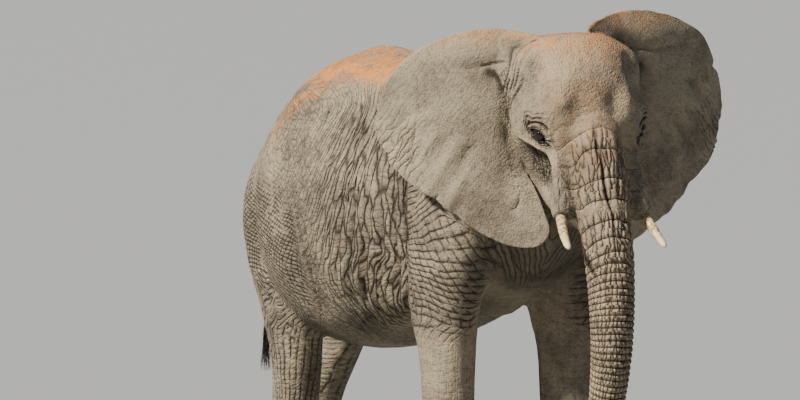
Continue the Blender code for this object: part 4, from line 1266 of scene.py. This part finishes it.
def earth_and_shade_marks(at, normal):
    """Red earth thrown on the back, the crown and the ears' tops, and painted shade in hollows and
    underneath.
    """
    x, y, z = at.body.T
    hx, hy, hz = at.head.T
    wavy = z + 0.035 * lumps(at.body, (0.10, 0.30, 0.08), 91)
    top = np.maximum(1.6 * bell(wavy, 2.450, 0.050), 0.50 * ramp(wavy, 2.44, 2.52))
    top *= ramp(y, -0.75, -0.45)
    rump = ((0.20, 2.40), (0.32, 2.30), (0.45, 2.23), (0.57, 2.13), (0.60, 2.02))
    streak = 0.7 * stroke(at.body[:, 1:], rump, 0.030) * at.rest
    crown = ramp(hz, 0.28, 0.46) * ramp(normal[:, 2], 0.2, 0.8) * at.skull * 0.40
    crown += 0.07 * ramp(hz, 0.06, 0.30) * ramp(at.side, 0.30, 0.18) * at.skull
    brow = 0.15 * bell(hx, -0.05, 0.20) * bell(hz, 0.06, 0.20) * ramp(hy, 0.15, 0.0)
    rim = ramp(at.up, 0.40, 0.50) * at.ear * 0.32
    nose = 0.06 * ramp(at.along, 0.1, 0.3) * at.trunk
    # painted shade: darker where the skin faces down, in the groin, on the breast, at the mouth's corner
    # and behind the thigh's crease
    under = ramp(normal[:, 2], -0.35, -0.85) * ramp(z, 0.3, 0.6) * (1 - at.ear)
    groin = bell(y, 0.50, 0.10) * ramp(z, 1.55, 1.15) * ramp(np.abs(x), 0.55, 0.3)
    chest = ramp(y, -0.90, -1.05) * ramp(z, 1.90, 1.70) * ramp(z, 0.9, 1.1)
    chest *= ramp(np.abs(x), 0.46, 0.36) * at.rest
    mouth = bell(hy, 0.04, 0.12) * bell(hz, -0.46, 0.10)
    mouth *= ramp(at.side, 0.17, 0.13) * ramp(hy, -0.06, 0.0)
    thigh = at.brick * bell(at.past_thigh, 0.05, 0.09) * ramp(z, 1.85, 1.65)
    # the cheek's hollow is darkened as painted shade too
    grime = 0.70 * at.hollow + 0.4 * under + 0.4 * groin + 0.6 * chest + mouth + 0.4 * thigh
    return {
        "dust": np.clip(top + streak + crown + brow + rim + nose, 0, 1),
        "grime": np.clip(grime, 0, 1),
    }


def crease_marks(at):
    """The sharp creases, darkened as painted shade, and the wet skin round the eyes."""
    creased = 85 * (root_lines(at) + 0.8 * cheek_lines(at) * at.hollow) * cheek_side(at)
    creased += 0.9 * middle_line(at) * at.trunk + 20 * ear_lines(at, EAR_FOLDS)
    creased -= 32 * np.minimum(strokes_on_body(at), 0)
    wet = np.zeros(len(at.points))
    lines = wet.copy()
    for side in HANDS:
        rows, u, v, w, gap = eye_terms(at.points, side)
        tear = bell(u, 0.066, 0.020) * bell(v, -0.006, 0.012)
        wet[rows] = np.maximum(ramp(gap, 0.0150, 0.0040), 0.9 * tear) * ramp(w, -0.06, -0.03)
        # the folds round the lids, darkened as painted shade
        lines[rows] = 90 * lid_lines(u, v, gap) * ramp(w, -0.06, -0.03)
    return {"creased": np.clip(creased + lines, 0, 1), "wet": wet}


def marked(body):
    """Stores on the hide what its shader follows: kinds of skin, cracks, creases, earth and painted shade.
    """
    at = Places(points_of(body))
    marks = kind_marks(at) | line_marks(at) | crease_marks(at) | earth_and_shade_marks(at, normals_of(body))
    for name, values in marks.items():
        attribute(body, name, values)


# ---------------------------------------------------------------- materials
SMOOTH = {"interpolation_type": "SMOOTHSTEP"}


def fill(node, *values, **named):
    """Fills sockets of a node: the open ones in order, or by their names with _ for a space."""
    pairs = [*zip((socket for socket in node.inputs if socket.enabled), values)]
    pairs += [(node.inputs[name.replace("_", " ")], value) for name, value in named.items()]
    for socket, value in pairs:
        if isinstance(value, bpy.types.NodeSocket):
            node.id_data.links.new(value, socket)
        elif socket.type == "RGBA":
            socket.default_value = (*tuple(value)[:3], 1)
        else:
            socket.default_value = value


def add(tree, kind, *values, out=None, **named):
    """Adds a node and returns its first open output, or the one named.

    The values fill its open sockets in order. A name with a capital is a socket's, and any other
    name is a setting's.
    """
    made = tree.nodes.new("ShaderNode" + kind)
    for name, value in named.items():
        if name[0].islower():
            setattr(made, name, value)
    fill(made, *values, **{name: value for name, value in named.items() if name[0].isupper()})
    return made.outputs[out] if out else next(socket for socket in made.outputs if socket.enabled)


def new_material(name, **sockets):
    """A material, its tree and its Principled shader with some sockets filled."""
    made = bpy.data.materials.new(name)
    made.use_nodes = True
    shader = made.node_tree.nodes["Principled BSDF"]
    fill(shader, **sockets)
    return made, made.node_tree, shader


def painted(tree, base, *layers):
    """A colour with others laid over it in turn.

    A layer holds what it follows, where it starts and is full, its share there, and its colour,
    or else only its share and its colour.
    """
    for follows, *reach, colour in layers:
        if reach:
            start, full, share = reach
            follows = add(tree, "MapRange", follows, start, full, 0.0, share, **SMOOTH)
        base = add(tree, "Mix", follows, base, colour, data_type="RGBA")
    return base


HIDE_MASKS = (
    # what the hide stores for each point as one number
    *("trunk", "ear", "brick", "fine", "head", "rings", "ring_width", "ringed", "rows", "columns"),
    *("long_lines", "cross_lines", "even_lines", "creased", "pale", "dust", "grime", "wet"),
)
HIDE_CLOUDS = {
    # size of its lumps in metres, detail, roughness
    "grain": (0.007, 3.0, 0.65),
    "mottle": (0.032, 4.0, 0.65),
    "spots": (0.05, 2.0, 0.55),
    "drift": (0.06, 5.0, 0.7),
    "patches": (0.28, 4.0, 0.6),
}
HIDE_FLOWS = (
    # where it holds, the coordinates, their wobble in metres, cells per metre across and along, and
    # their turn: 24 to the metre puts the cracks 42 mm apart
    ("", "weave", 0.060, (24, 24, 0), 0.0),
    ("brick", "weave", 0.060, (30, 46, 0), 0.75),
    ("fine", "weave", 0.030, (52, 40, 0), 0.0),
    ("trunk", "trunk_weave", 0.030, (36, 36, 0), 0.0),
    ("ear", "ear_weave", 0.060, (30, 30, 0), 0.0),
)
HIDE_THREADS = (
    # level and upright lines of the woven skin, their axis, and half their gap off and on the thighs
    ("rows", "Y", 0.0185, 0.0135),
    ("columns", "X", 0.0240, 0.0180),
)


def drifted(tree, wobble, weave, amount):
    """Stored flat coordinates, pushed off their straight lines by some metres."""
    stored = add(tree, "Attribute", attribute_name=weave, out="Vector")
    return add(tree, "VectorMath", wobble, (amount, amount, 0), stored, operation="MULTIPLY_ADD")


def fading(tree, away, rate):
    """1 on a line, and less with the distance from it."""
    return add(tree, "Math", add(tree, "Math", away, -rate, operation="MULTIPLY"), operation="EXPONENT")


def honeycomb(tree, place, scale, rate=7.5, dimensions="2D"):
    """1 in the cracks between uneven cells, and fading quickly off them."""
    scaled = add(tree, "Mapping", Vector=place, Scale=scale)
    pattern = {"feature": "DISTANCE_TO_EDGE", "voronoi_dimensions": dimensions}
    return fading(tree, add(tree, "TexVoronoi", Vector=scaled, Scale=1.0, Randomness=1.0, **pattern), rate)


def cut(tree, height, depth, line):
    """A height cut by a line to a share of its depth."""
    share = add(tree, "Math", depth, line, operation="MULTIPLY")
    left = add(tree, "Math", 1.0, share, operation="SUBTRACT")
    return add(tree, "Math", height, left, operation="MULTIPLY")


def skin_flow(tree, masks, wobble):
    """The coordinates that the long and the cross cracks follow on each kind of skin."""
    ring = add(tree, "Math", masks["rings"], 0.5, operation="ADD")
    ring = add(tree, "Math", ring, operation="FLOOR")
    # a step along for each ring, so that no crack runs on into the next one
    shift = add(tree, "Math", ring, 0.371, operation="MULTIPLY")
    flow = None
    for mask, weave, amount, scale, turn in HIDE_FLOWS:
        place = drifted(tree, wobble, weave, amount)
        if mask == "trunk":
            moved_on = add(tree, "CombineXYZ", 0.0, shift)
            place = add(tree, "VectorMath", place, moved_on, operation="ADD")
        place = add(tree, "Mapping", Vector=place, Rotation=(0, 0, turn), Scale=scale)
        if mask:
            inside = add(tree, "Math", masks[mask], 0.5, operation="GREATER_THAN")
            place = add(tree, "Mix", inside, flow, place, data_type="VECTOR")
        flow = place
    return flow


def skin_cracks(tree, masks, wobble, bent, spots):
    """The skin's height from 1 down to 0 in its cracks, rings, creases and threads."""
    flow = skin_flow(tree, masks, wobble)
    near_ring = add(tree, "Math", masks["rings"], 0.5, operation="PINGPONG")
    near_ring = add(tree, "Math", near_ring, masks["ring_width"], operation="MULTIPLY")
    height = 1.0
    for depth, line in (
        (masks["long_lines"], honeycomb(tree, flow, (1, 0.2, 0))),
        (masks["cross_lines"], honeycomb(tree, flow, (0.22, 1, 0))),
        (masks["even_lines"], honeycomb(tree, bent, (17, 17, 17), 14.0, "3D")),
        (masks["ringed"], fading(tree, near_ring, 450.0)),
        (0.45, masks["creased"]),
    ):
        height = cut(tree, height, depth, line)
    threads = add(tree, "SeparateXYZ", drifted(tree, wobble, "weave", 0.035)).node
    thigh = add(tree, "Math", masks["brick"], 0.5, operation="GREATER_THAN")
    faded = add(tree, "MapRange", spots, 0.34, 0.52, 0.30, 1.0, **SMOOTH)
    for name, axis, wide, narrow in HIDE_THREADS:
        half_gap = add(tree, "Mix", thigh, wide, narrow, data_type="FLOAT")
        off = add(tree, "Math", threads.outputs[axis], half_gap, operation="PINGPONG")
        depth = add(tree, "Math", masks[name], faded, operation="MULTIPLY")
        height = cut(tree, height, depth, fading(tree, off, 210.0))
    return height


def hide_material():
    """Elephant hide: thick dry skin, cracked as it grew and rubbed with earth.

    The eye sees a dull grey-brown, darker in the cracks from earth in them and from painted shade,
    paler where dust lies on the ridges, with red earth on the back and the crown, painted shade in
    the creases, the hollows and under the body, and dark wet skin at the rims of the eyes.
    """
    colours = bpy.context.scene.elephant_colours
    made, tree, shader = new_material(
        "elephant hide, dry and dusty", Roughness=0.85, Specular_IOR_Level=0.25
    )
    place = add(tree, "TexCoord", out="Object")
    masks = {name: add(tree, "Attribute", attribute_name=name, out="Fac") for name in HIDE_MASKS}
    clouds = {
        name: add(tree, "TexNoise", place, 1 / size, detail, rough)
        for name, (size, detail, rough) in HIDE_CLOUDS.items()
    }
    wobble = add(tree, "TexNoise", place, 1 / 0.11, 2.0, 0.5, out="Color")
    bent = add(tree, "VectorMath", wobble, (0.05, 0.05, 0.05), place, operation="MULTIPLY_ADD")
    coarse = skin_cracks(tree, masks, wobble, bent, clouds["spots"])

    # pebbles 11.5 mm across, flatter off the head, with a finer grain over them
    pebble = add(tree, "TexVoronoi", Vector=bent, Scale=1 / 0.0115, Randomness=0.9, feature="F1")
    grain = add(tree, "Math", clouds["grain"], 0.6, operation="MULTIPLY")
    pebbled = add(tree, "Mix", masks["head"], 0.34, 0.70, data_type="FLOAT")
    sunk = add(tree, "Math", pebble, pebbled, operation="MULTIPLY")
    fine = add(tree, "Math", grain, sunk, operation="SUBTRACT")
    deep = add(tree, "Bump", Height=coarse, Distance=0.016, Strength=1.0)
    normal = add(tree, "Bump", Height=fine, Distance=0.006, Strength=1.0, Normal=deep)

    dusted = add(tree, "Math", masks["pale"], 0.12, operation="MULTIPLY")
    patches = add(tree, "Math", clouds["patches"], dusted, operation="ADD")
    earth = add(tree, "MapRange", clouds["drift"], 0.38, 0.56, 0.22, 1.0, **SMOOTH)
    earth = add(tree, "Math", masks["dust"], earth, operation="MULTIPLY")
    # painted shade: the sharp creases and the marks of painted shade in hollows and underneath
    shade = add(tree, "Math", masks["creased"], 1.2, operation="MULTIPLY")
    shade = add(tree, "Math", masks["grime"], shade, operation="MAXIMUM")
    shade = add(tree, "Math", shade, 0.7, operation="MULTIPLY")
    base = painted(
        tree,
        colours.hide,
        (patches, 0.35, 0.68, 1.00, colours.hide_pale),
        (pebble, 0.40, 0.90, 0.32, colours.crack_and_shade),
        (clouds["mottle"], 0.50, 0.72, 0.38, colours.crack_and_shade),
        (clouds["mottle"], 0.50, 0.28, 0.55, colours.hide_pale),
        (clouds["grain"], 0.45, 0.75, 0.30, colours.hide_pale),
        (earth, colours.dust),
        # the cracks darker: partly earth in them, partly painted shade
        (coarse, 0.85, 0.10, 0.85, colours.crack_and_shade),
        (shade, colours.crack_and_shade),
        (masks["wet"], colours.wet),
    )
    rough = add(tree, "MapRange", coarse, 0.0, 1.0, 0.95, 0.80, **SMOOTH)
    rough = add(tree, "Mix", masks["wet"], rough, 0.30, data_type="FLOAT")
    fill(shader, Base_Color=base, Roughness=rough, Normal=normal)
    return made


def ivory_material():
    """Ivory: a dense tooth, worn smooth at its tip, stained brown in its middle and darker towards its
    root.
    """
    colours = bpy.context.scene.elephant_colours
    made, tree, shader = new_material("ivory, worn and stained", Roughness=0.38, IOR=1.54)
    place = add(tree, "TexCoord", out="Object")
    along = add(tree, "Attribute", attribute_name="worn", out="Fac")
    mottle = add(tree, "TexNoise", place, 1 / 0.018, 5.0, 0.65)
    drawn_out = add(tree, "Mapping", Vector=place, Scale=(1, 1, 0.25))
    streak = add(tree, "TexNoise", drawn_out, 1 / 0.006, 3.0, 0.55)
    past_root = add(tree, "MapRange", along, 0.0, 0.15, 0.0, 1.0, **SMOOTH)
    before_tip = add(tree, "MapRange", along, 0.95, 0.55, 0.0, 1.0, **SMOOTH)
    middle = add(tree, "Math", past_root, before_tip, operation="MULTIPLY")
    blotch = add(tree, "MapRange", mottle, 0.42, 0.60, 0.0, 0.9, **SMOOTH)
    stain = add(tree, "Math", middle, blotch, operation="MULTIPLY")
    base = painted(
        tree,
        colours.ivory,
        (stain, colours.ivory_stain),
        # darker towards the root
        (along, 0.22, 0.02, 0.80, colours.crack_and_shade),
        (streak, 0.60, 0.75, 0.35, colours.ivory_stain),
    )
    rough = add(tree, "MapRange", mottle, 0.3, 0.7, 0.30, 0.50, **SMOOTH)
    normal = add(tree, "Bump", Height=streak, Distance=0.0006, Strength=0.5)
    fill(shader, Base_Color=base, Roughness=rough, Normal=normal)
    return made


def eye_material():
    """A wet eye: a nearly black white, a dark brown iris with fine spokes and a black pupil."""
    colours = bpy.context.scene.elephant_colours
    made, tree, shader = new_material(
        "eye, wet", Roughness=0.08, IOR=1.38, Coat_Weight=0.6, Coat_Roughness=0.02
    )
    place = add(tree, "TexCoord", out="Object")
    away = add(tree, "Attribute", attribute_name="from_axis", out="Fac")
    spokes = add(tree, "TexNoise", place, 1 / 0.003, 2.0, 0.55)
    iris = painted(tree, colours.iris, (spokes, colours.iris_ring))
    base = painted(
        tree,
        colours.pupil,
        (away, 0.36, 0.40, 1.0, iris),
        (away, 0.66, 0.74, 1.0, colours.eye_white),
    )
    fill(shader, Base_Color=base)
    return made


def nail_material():
    """Toenail horn: grown in thin level layers, dull, chalky and mottled with dark stains."""
    colours = bpy.context.scene.elephant_colours
    made, tree, shader = new_material("toenail horn, dull", Roughness=0.55)
    place = add(tree, "TexCoord", out="Object")
    level = add(tree, "Mapping", Vector=place, Scale=(0.25, 0.25, 1))
    grown = add(tree, "TexNoise", level, 1 / 0.008, 3.0, 0.55)
    mottle = add(tree, "TexNoise", place, 1 / 0.03, 3.0, 0.55)
    base = painted(
        tree,
        colours.nail,
        (grown, 0.3, 0.7, 1.0, colours.hide_pale),
        (mottle, 0.45, 0.7, 0.6, colours.crack_and_shade),
    )
    rough = add(tree, "MapRange", mottle, 0.3, 0.7, 0.5, 0.75, **SMOOTH)
    normal = add(tree, "Bump", Height=grown, Distance=0.001, Strength=0.6)
    fill(shader, Base_Color=base, Roughness=rough, Normal=normal)
    return made


def wire_material():
    """Tail wire and lash: stiff black keratin, dull and a little dusty."""
    colours = bpy.context.scene.elephant_colours
    made, tree, shader = new_material("black keratin wire", Roughness=0.6, Specular_IOR_Level=0.25)
    place = add(tree, "TexCoord", out="Object")
    mottle = add(tree, "TexNoise", place, 1 / 0.02, 2.0, 0.55)
    fill(shader, Base_Color=painted(tree, colours.wire, (mottle, 0.4, 0.75, 1.0, colours.wire_dusty)))
    return made


# ---------------------------------------------------------------- smaller pieces
def dress(obj, material, slot, *nodes):
    """Gives a finished piece its material and body, and hides the nodes that it stands for; the slot is not
    used.
    """
    obj.data.materials.clear()
    obj.data.materials.append(material)
    pick(obj)
    bpy.ops.object.shade_smooth()
    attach(obj, "root")
    if nodes:
        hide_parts(*nodes)


def shaped_eye(side):
    """The ball, with a bulging cornea, turned to look out and a little forward."""
    sizes = bpy.context.scene.elephant_sizes
    centre, out, fore, _ = eye_frame(side)
    deselect()
    bpy.ops.mesh.primitive_uv_sphere_add(segments=64, ring_count=48, radius=sizes.eyeball_radius)
    ball = bpy.context.object
    ball.name = "eyeball_" + side
    points = points_of(ball)
    from_axis = np.arccos(np.clip(points[:, 2] / sizes.eyeball_radius, -1, 1))
    points *= (1 + 0.05 * ramp(from_axis, 0.75, 0.0))[:, None]
    look = (out * 0.96 + fore * 0.22).normalized()
    turn = look.to_track_quat("Z", "Y").to_matrix().to_4x4()
    set_points(ball, moved(points, Matrix.Translation(centre) @ turn))
    attribute(ball, "from_axis", from_axis)
    return ball


def shaped_tusk(side):
    """A tusk from inside its sheath to its worn tip."""
    hand = HANDS[side]
    stations = (
        (hand * 0.202, -0.150, -0.355, 0.92),
        (hand * 0.222, -0.215, -0.430, 1.00),
        (hand * 0.237, -0.285, -0.488, 0.92),
        (hand * 0.247, -0.350, -0.532, 0.76),
        (hand * 0.252, -0.402, -0.562, 0.56),
        (hand * 0.2528, -0.414, -0.5675, 0.42),
        (hand * 0.253, -0.420, -0.570, 0.20),
    )
    radius = bpy.context.scene.elephant_sizes.tusk_radius
    rows = [(x, y, z, radius * r, radius * r * 0.95) for x, y, z, r in stations]
    tusk = hose("ivory_" + side, rows, 40, head_frame(0.0), steps=10)
    points = points_of(tusk)
    local = moved(points, head_frame(0.0).inverted())
    uneven = lumps(local, (0.02, 0.02, 0.05), 71) * 0.0009
    points += normals_of(tusk) * uneven[:, None]
    set_points(tusk, points)
    attribute(tusk, "worn", np.clip((-0.20 - local[:, 1]) / 0.22, 0, 1))
    return tusk


def foot_place(leg):
    """The middle of a foot's front, on plan, in the model's frame."""
    foot_y = FOREFOOT_Y if leg.startswith("fore") else HINDFOOT_Y
    return Vector((HALF_TRACK[leg] - CENTRE[0], foot_y + STRIDE[leg] - CENTRE[1], 0))


NAIL_SHAPE = (
    # height above the sole, half width, and how far it stands out
    (0.006, 0.035, 0.0120),
    (0.018, 0.041, 0.0125),
    (0.055, 0.044, 0.0110),
    (0.085, 0.036, 0.0040),
    (0.097, 0.022, -0.0040),
)


def shaped_nails(leg, hide):
    """The nail shields round the front of a foot: domed plates set in the skin."""
    kind = leg.split("_")[0]
    plates = []
    for bearing in NAILS[kind]:
        turn = math.radians(bearing)
        out = Vector((math.sin(turn), -math.cos(turn), 0))
        side = Vector((math.cos(turn), math.sin(turn), 0))
        size = 1.0 if abs(bearing) < 30 else 0.86
        rings = []
        for height, width, depth in smooth_rows(NAIL_SHAPE, 5):
            level = foot_place(leg) + Vector((0, 0, height))
            hit, spot, _, _ = hide.ray_cast(level + out * 0.5, -out)
            if not hit:
                raise RuntimeError("a toenail met no skin on " + leg)
            spot += out * (depth - 0.016)
            rings.append(oval(spot, side, out, width * size, 0.014, 0.010, 24, 2.6))
        plates.append(loft("nail", rings))
    return joined(plates, "toenails_" + leg)


def strand(root, direction, length, thick, bend, steps=6):
    """A tapered three-sided wire that bends on its way: points and faces."""
    points, faces = [], []
    along = Vector(direction).normalized()
    side = along.orthogonal().normalized()
    spot = Vector(root)
    for i in range(steps + 1):
        share = i / steps
        width = thick * (1 - 0.85 * share)
        third = along.cross(side).normalized()
        for k in range(3):
            turn = 2 * math.pi * k / 3
            points.append(spot + (side * math.cos(turn) + third * math.sin(turn)) * width)
        along = (along + Vector(bend) / steps).normalized()
        side = (side - along * side.dot(along)).normalized()
        spot = spot + along * (length / steps)
    for i in range(steps):
        for k in range(3):
            j = (k + 1) % 3
            faces.append((3 * i + k, 3 * i + j, 3 * i + 3 + j, 3 * i + 3 + k))
    faces.append((2, 1, 0))
    faces.append((3 * steps, 3 * steps + 1, 3 * steps + 2))
    return points, faces


def hair_piece(name, strands, roots):
    """One mesh of many strands, each a small patch at its root's place on the unwrap."""
    points, faces, places = [], [], []
    for (some, shape), root in zip(strands, roots):
        start = len(points)
        points += [tuple(p) for p in some]
        faces += [tuple(start + i for i in face) for face in shape]
        places += [root] * len(shape)
    made = new_object(name, points, faces)
    layer = made.data.uv_layers.new(name="OFBake")
    radius = 0.0015  # of a strand's patch on the unwrap
    for polygon, (u, v) in zip(made.data.polygons, places):
        for k, corner in enumerate(polygon.loop_indices):
            turn = 2 * math.pi * k / polygon.loop_total
            layer.data[corner].uv = (u + radius * math.cos(turn), v + radius * math.sin(turn))
    return made


def tail_wires():
    """The two-edged brush of stiff wires at the end of the tail, and its short side hairs."""
    rng = np.random.default_rng(7)
    low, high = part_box("tail_tuft")
    top = Vector(((low.x + high.x) / 2 + 0.004, (low.y + high.y) / 2, high.z))
    length = high.z - low.z
    strands, roots = [], []
    for i in range(bpy.context.scene.elephant_sizes.tail_wires):
        edge = 1 if i % 2 else -1
        fall = rng.uniform(-0.55, 1.0) * 0.45 * length
        above = max(-fall, 0)  # the tail leans here, so the roots follow it
        away = Vector((rng.uniform(-0.010, 0.010), edge * rng.uniform(0.005, 0.016), -0.01 - fall))
        spot = top + away + TAIL_LEAN * above
        reach = min(length - (top.z - spot.z) - 0.004, length * rng.uniform(0.35, 0.85))
        direction = (rng.uniform(-0.12, 0.12), edge * rng.uniform(0.05, 0.28), -1)
        bend = (rng.uniform(-0.15, 0.15), -edge * rng.uniform(0.05, 0.30), -0.3)
        strands.append(strand(spot, direction, reach, rng.uniform(0.0008, 0.0013), bend))
        roots.append((0.5 + edge * rng.uniform(0.05, 0.20), 0.2 + 0.6 * (top.z - spot.z) / length))
    return hair_piece("tail_wires", strands, roots)


def lashes(side):
    """Long stiff lashes on the upper lid."""
    rng = np.random.default_rng(11)
    sizes = bpy.context.scene.elephant_sizes
    centre, out, fore, up = eye_frame(side)
    strands, roots = [], []
    for i in range(LASHES):
        u = -0.034 + 0.068 * (i + rng.uniform(-0.4, 0.4)) / (LASHES - 1)
        rim = float(half_opening(np.array(u), np.array(1.0))) + 0.001
        lid = sizes.eyeball_radius + sizes.lid_thickness
        depth = math.sqrt(max(0.0001, lid**2 - u * u - rim * rim))
        spot = centre + fore * u + up * rim + out * (depth - 0.004)
        direction = out + fore * (u * 9) - up * rng.uniform(0.1, 0.6)
        strands.append(strand(spot, direction, rng.uniform(0.022, 0.040), 0.0008, -up * 0.8))
        roots.append((0.1 + LASH_SPACING * i, 0.5 + 0.1 * HANDS[side]))
    return hair_piece("lashes_" + side, strands, roots)


# ---------------------------------------------------------------- settings
class ElephantSizes(bpy.types.PropertyGroup):
    """Sizes that can be changed without touching the body's form."""

    eyeball_radius: FloatProperty(
        name="Eyeball radius", description="Half width of the eye", default=0.0315, unit="LENGTH"
    )
    lid_thickness: FloatProperty(
        name="Lid thickness", description="Of the rim of the eyelids", default=0.0055, unit="LENGTH"
    )
    tusk_radius: FloatProperty(
        name="Tusk radius", description="Where the tusk leaves its sheath", default=0.0262, unit="LENGTH"
    )
    tail_wires: IntProperty(name="Tail wires", description="Count in the tail's brush", default=260)


def swatch(name, code):
    """A colour property whose default comes from a hex code."""
    return FloatVectorProperty(
        name=name, description=name + " colour", subtype="COLOR", size=3, min=0, max=1, default=linear(code)
    )


class ElephantColours(bpy.types.PropertyGroup):
    """Colours of every finish."""

    hide: swatch("Hide", "#7a6e5e")
    hide_pale: swatch("Pale, dusty hide", "#a4967d")
    # dark of the cracks and the mottling, and the colour of the painted shade
    crack_and_shade: swatch("Cracks and painted shade", "#2f2b23")
    dust: swatch("Red earth", "#d98834")
    ivory: swatch("Ivory", "#e5d3a2")
    ivory_stain: swatch("Stained ivory", "#86582c")
    pupil: swatch("Pupil", "#070707")
    iris: swatch("Iris", "#3f2814")
    iris_ring: swatch("Iris spokes", "#2e1c10")
    eye_white: swatch("White of the eye", "#1b1512")
    wet: swatch("Wet skin at the eyes", "#221d19")
    nail: swatch("Toenail", "#8d8371")
    wire: swatch("Wire", "#14110f")
    wire_dusty: swatch("Dusty wire", "#3c332a")


class ElephantStage(bpy.types.PropertyGroup):
    """The light, the floor and the sky."""

    sun_strength: FloatProperty(name="Sun", description="Strength of the key light", default=8.4)
    sun_softness: FloatProperty(
        name="Softness", description="Width of the key light", default=math.radians(6), subtype="ANGLE"
    )
    sky_strength: FloatProperty(name="Sky", description="Strength of the fill light", default=0.15)
    floor: swatch("Floor", "#9d9f9d")
    sky: swatch("Sky", "#84abee")


# ---------------------------------------------------------------- operators
class ELEPHANT_OT_hide(bpy.types.Operator):
    """Adds the hide: the body, head, ears, trunk, legs and tail in one skin"""

    bl_idname = "elephant.hide"
    bl_label = "Add Hide"

    def execute(self, context):
        body = lightened(sculpted(with_ears(fused_masses())))
        cut_soles(body)
        marked(body)
        dress(body, hide_material(), "elephant_hide", *FLESH_NODES)
        return {"FINISHED"}


class ELEPHANT_OT_eyes(bpy.types.Operator):
    """Adds the eyeballs"""

    bl_idname = "elephant.eyes"
    bl_label = "Add Eyes"

    def execute(self, context):
        finish = eye_material()
        for side in HANDS:
            dress(shaped_eye(side), finish, "eye", "eye_" + side)
        return {"FINISHED"}


class ELEPHANT_OT_tusks(bpy.types.Operator):
    """Adds the tusks"""

    bl_idname = "elephant.tusks"
    bl_label = "Add Tusks"

    def execute(self, context):
        finish = ivory_material()
        for side in HANDS:
            dress(shaped_tusk(side), finish, "ivory", "tusk_" + side)
        return {"FINISHED"}


class ELEPHANT_OT_toenails(bpy.types.Operator):
    """Adds the toenails of all four feet"""

    bl_idname = "elephant.toenails"
    bl_label = "Add Toenails"

    def execute(self, context):
        finish = nail_material()
        hide = bpy.data.objects["hide"]
        for leg in HALF_TRACK:
            dress(shaped_nails(leg, hide), finish, "elephant_hide")
        return {"FINISHED"}


class ELEPHANT_OT_hair(bpy.types.Operator):
    """Adds the brush of the tail and the lashes"""

    bl_idname = "elephant.hair"
    bl_label = "Add Hair"

    def execute(self, context):
        finish = wire_material()
        dress(tail_wires(), finish, "tail_wires", "tail_tuft")
        for side in HANDS:
            dress(lashes(side), finish, "tail_wires")
        return {"FINISHED"}


FLOOR_RADIUS, FLOOR_LEVEL = 600, -0.0005
CAMERA_PLACE = (-15.9036, -22.1102, 3.2)
CAMERA_LOOK = Vector((0.57358, 0.81915, -0.0522))
CAMERA_LENS, CAMERA_SENSOR = 234, 36  # millimetres
CAMERA_REACH = 2000
CAMERA_LEFT, CAMERA_BACK = Vector((-0.819, 0.574, 0)), Vector((-0.574, -0.819, 0))
SUN_SOURCE = CAMERA_LEFT * 0.80 + CAMERA_BACK * 0.50 + UP * 0.80  # from the animal to the sun
SUN_COLOUR = (1.0, 0.95, 0.87)


class ELEPHANT_OT_stage(bpy.types.Operator):
    """Adds the floor, the sun, the sky and the camera"""

    bl_idname = "elephant.stage"
    bl_label = "Add Stage"

    def execute(self, context):
        stage = context.scene.elephant_stage
        deselect()
        bpy.ops.mesh.primitive_circle_add(
            vertices=128, radius=FLOOR_RADIUS, fill_type="NGON", location=(0, 0, FLOOR_LEVEL)
        )
        floor = context.object
        floor.name = "floor"
        paint, _, _ = new_material("matt studio floor", Roughness=0.9, Base_Color=stage.floor)
        floor.data.materials.append(paint)

        bpy.ops.object.light_add(type="SUN")
        sun = context.object
        sun.data.energy = stage.sun_strength
        sun.data.angle = stage.sun_softness
        sun.data.color = SUN_COLOUR
        sun.rotation_mode = "QUATERNION"
        sun.rotation_quaternion = SUN_SOURCE.to_track_quat("Z", "Y")

        world = bpy.data.worlds.new("pale studio")
        context.scene.world = world
        world.use_nodes = True
        background = world.node_tree.nodes["Background"]
        fill(background, Color=stage.sky, Strength=stage.sky_strength)

        bpy.ops.object.camera_add(location=CAMERA_PLACE)
        camera = context.object
        camera.data.sensor_width = CAMERA_SENSOR
        camera.data.lens = CAMERA_LENS
        camera.data.clip_end = CAMERA_REACH
        camera.rotation_mode = "QUATERNION"
        camera.rotation_quaternion = CAMERA_LOOK.normalized().to_track_quat("-Z", "Y")
        context.scene.camera = camera
        return {"FINISHED"}


class ELEPHANT_PT_panel(bpy.types.Panel):
    """Lists the pieces and their settings"""

    bl_label = "Elephant"
    bl_space_type = "VIEW_3D"
    bl_region_type = "UI"
    bl_category = "Elephant"

    def draw(self, context):
        for operator in OPERATORS:
            self.layout.operator(operator.bl_idname)
        for settings, group in GROUPS.items():
            box = self.layout.box()
            for name in group.__annotations__:
                box.prop(getattr(context.scene, settings), name)


OPERATORS = (
    ELEPHANT_OT_hide,
    ELEPHANT_OT_eyes,
    ELEPHANT_OT_tusks,
    ELEPHANT_OT_toenails,
    ELEPHANT_OT_hair,
    ELEPHANT_OT_stage,
)
GROUPS = {
    "elephant_sizes": ElephantSizes,
    "elephant_colours": ElephantColours,
    "elephant_stage": ElephantStage,
}


def register():
    for group in GROUPS.values():
        bpy.utils.register_class(group)
    for name, group in GROUPS.items():
        setattr(bpy.types.Scene, name, PointerProperty(type=group))
    for item in (*OPERATORS, ELEPHANT_PT_panel):
        bpy.utils.register_class(item)


def unregister():
    for item in (*OPERATORS, ELEPHANT_PT_panel):
        bpy.utils.unregister_class(item)
    for name, group in GROUPS.items():
        delattr(bpy.types.Scene, name)
        bpy.utils.unregister_class(group)


def main():
    """Builds every piece."""
    for obj in list(bpy.data.objects):
        if body_of(obj) is None and obj not in frame["bodies"].values():
            bpy.data.objects.remove(obj)
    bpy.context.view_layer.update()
    register()
    bpy.ops.elephant.hide()
    bpy.ops.elephant.eyes()
    bpy.ops.elephant.tusks()
    bpy.ops.elephant.toenails()
    bpy.ops.elephant.hair()
    bpy.ops.elephant.stage()


if __name__ == "__main__":
    main()
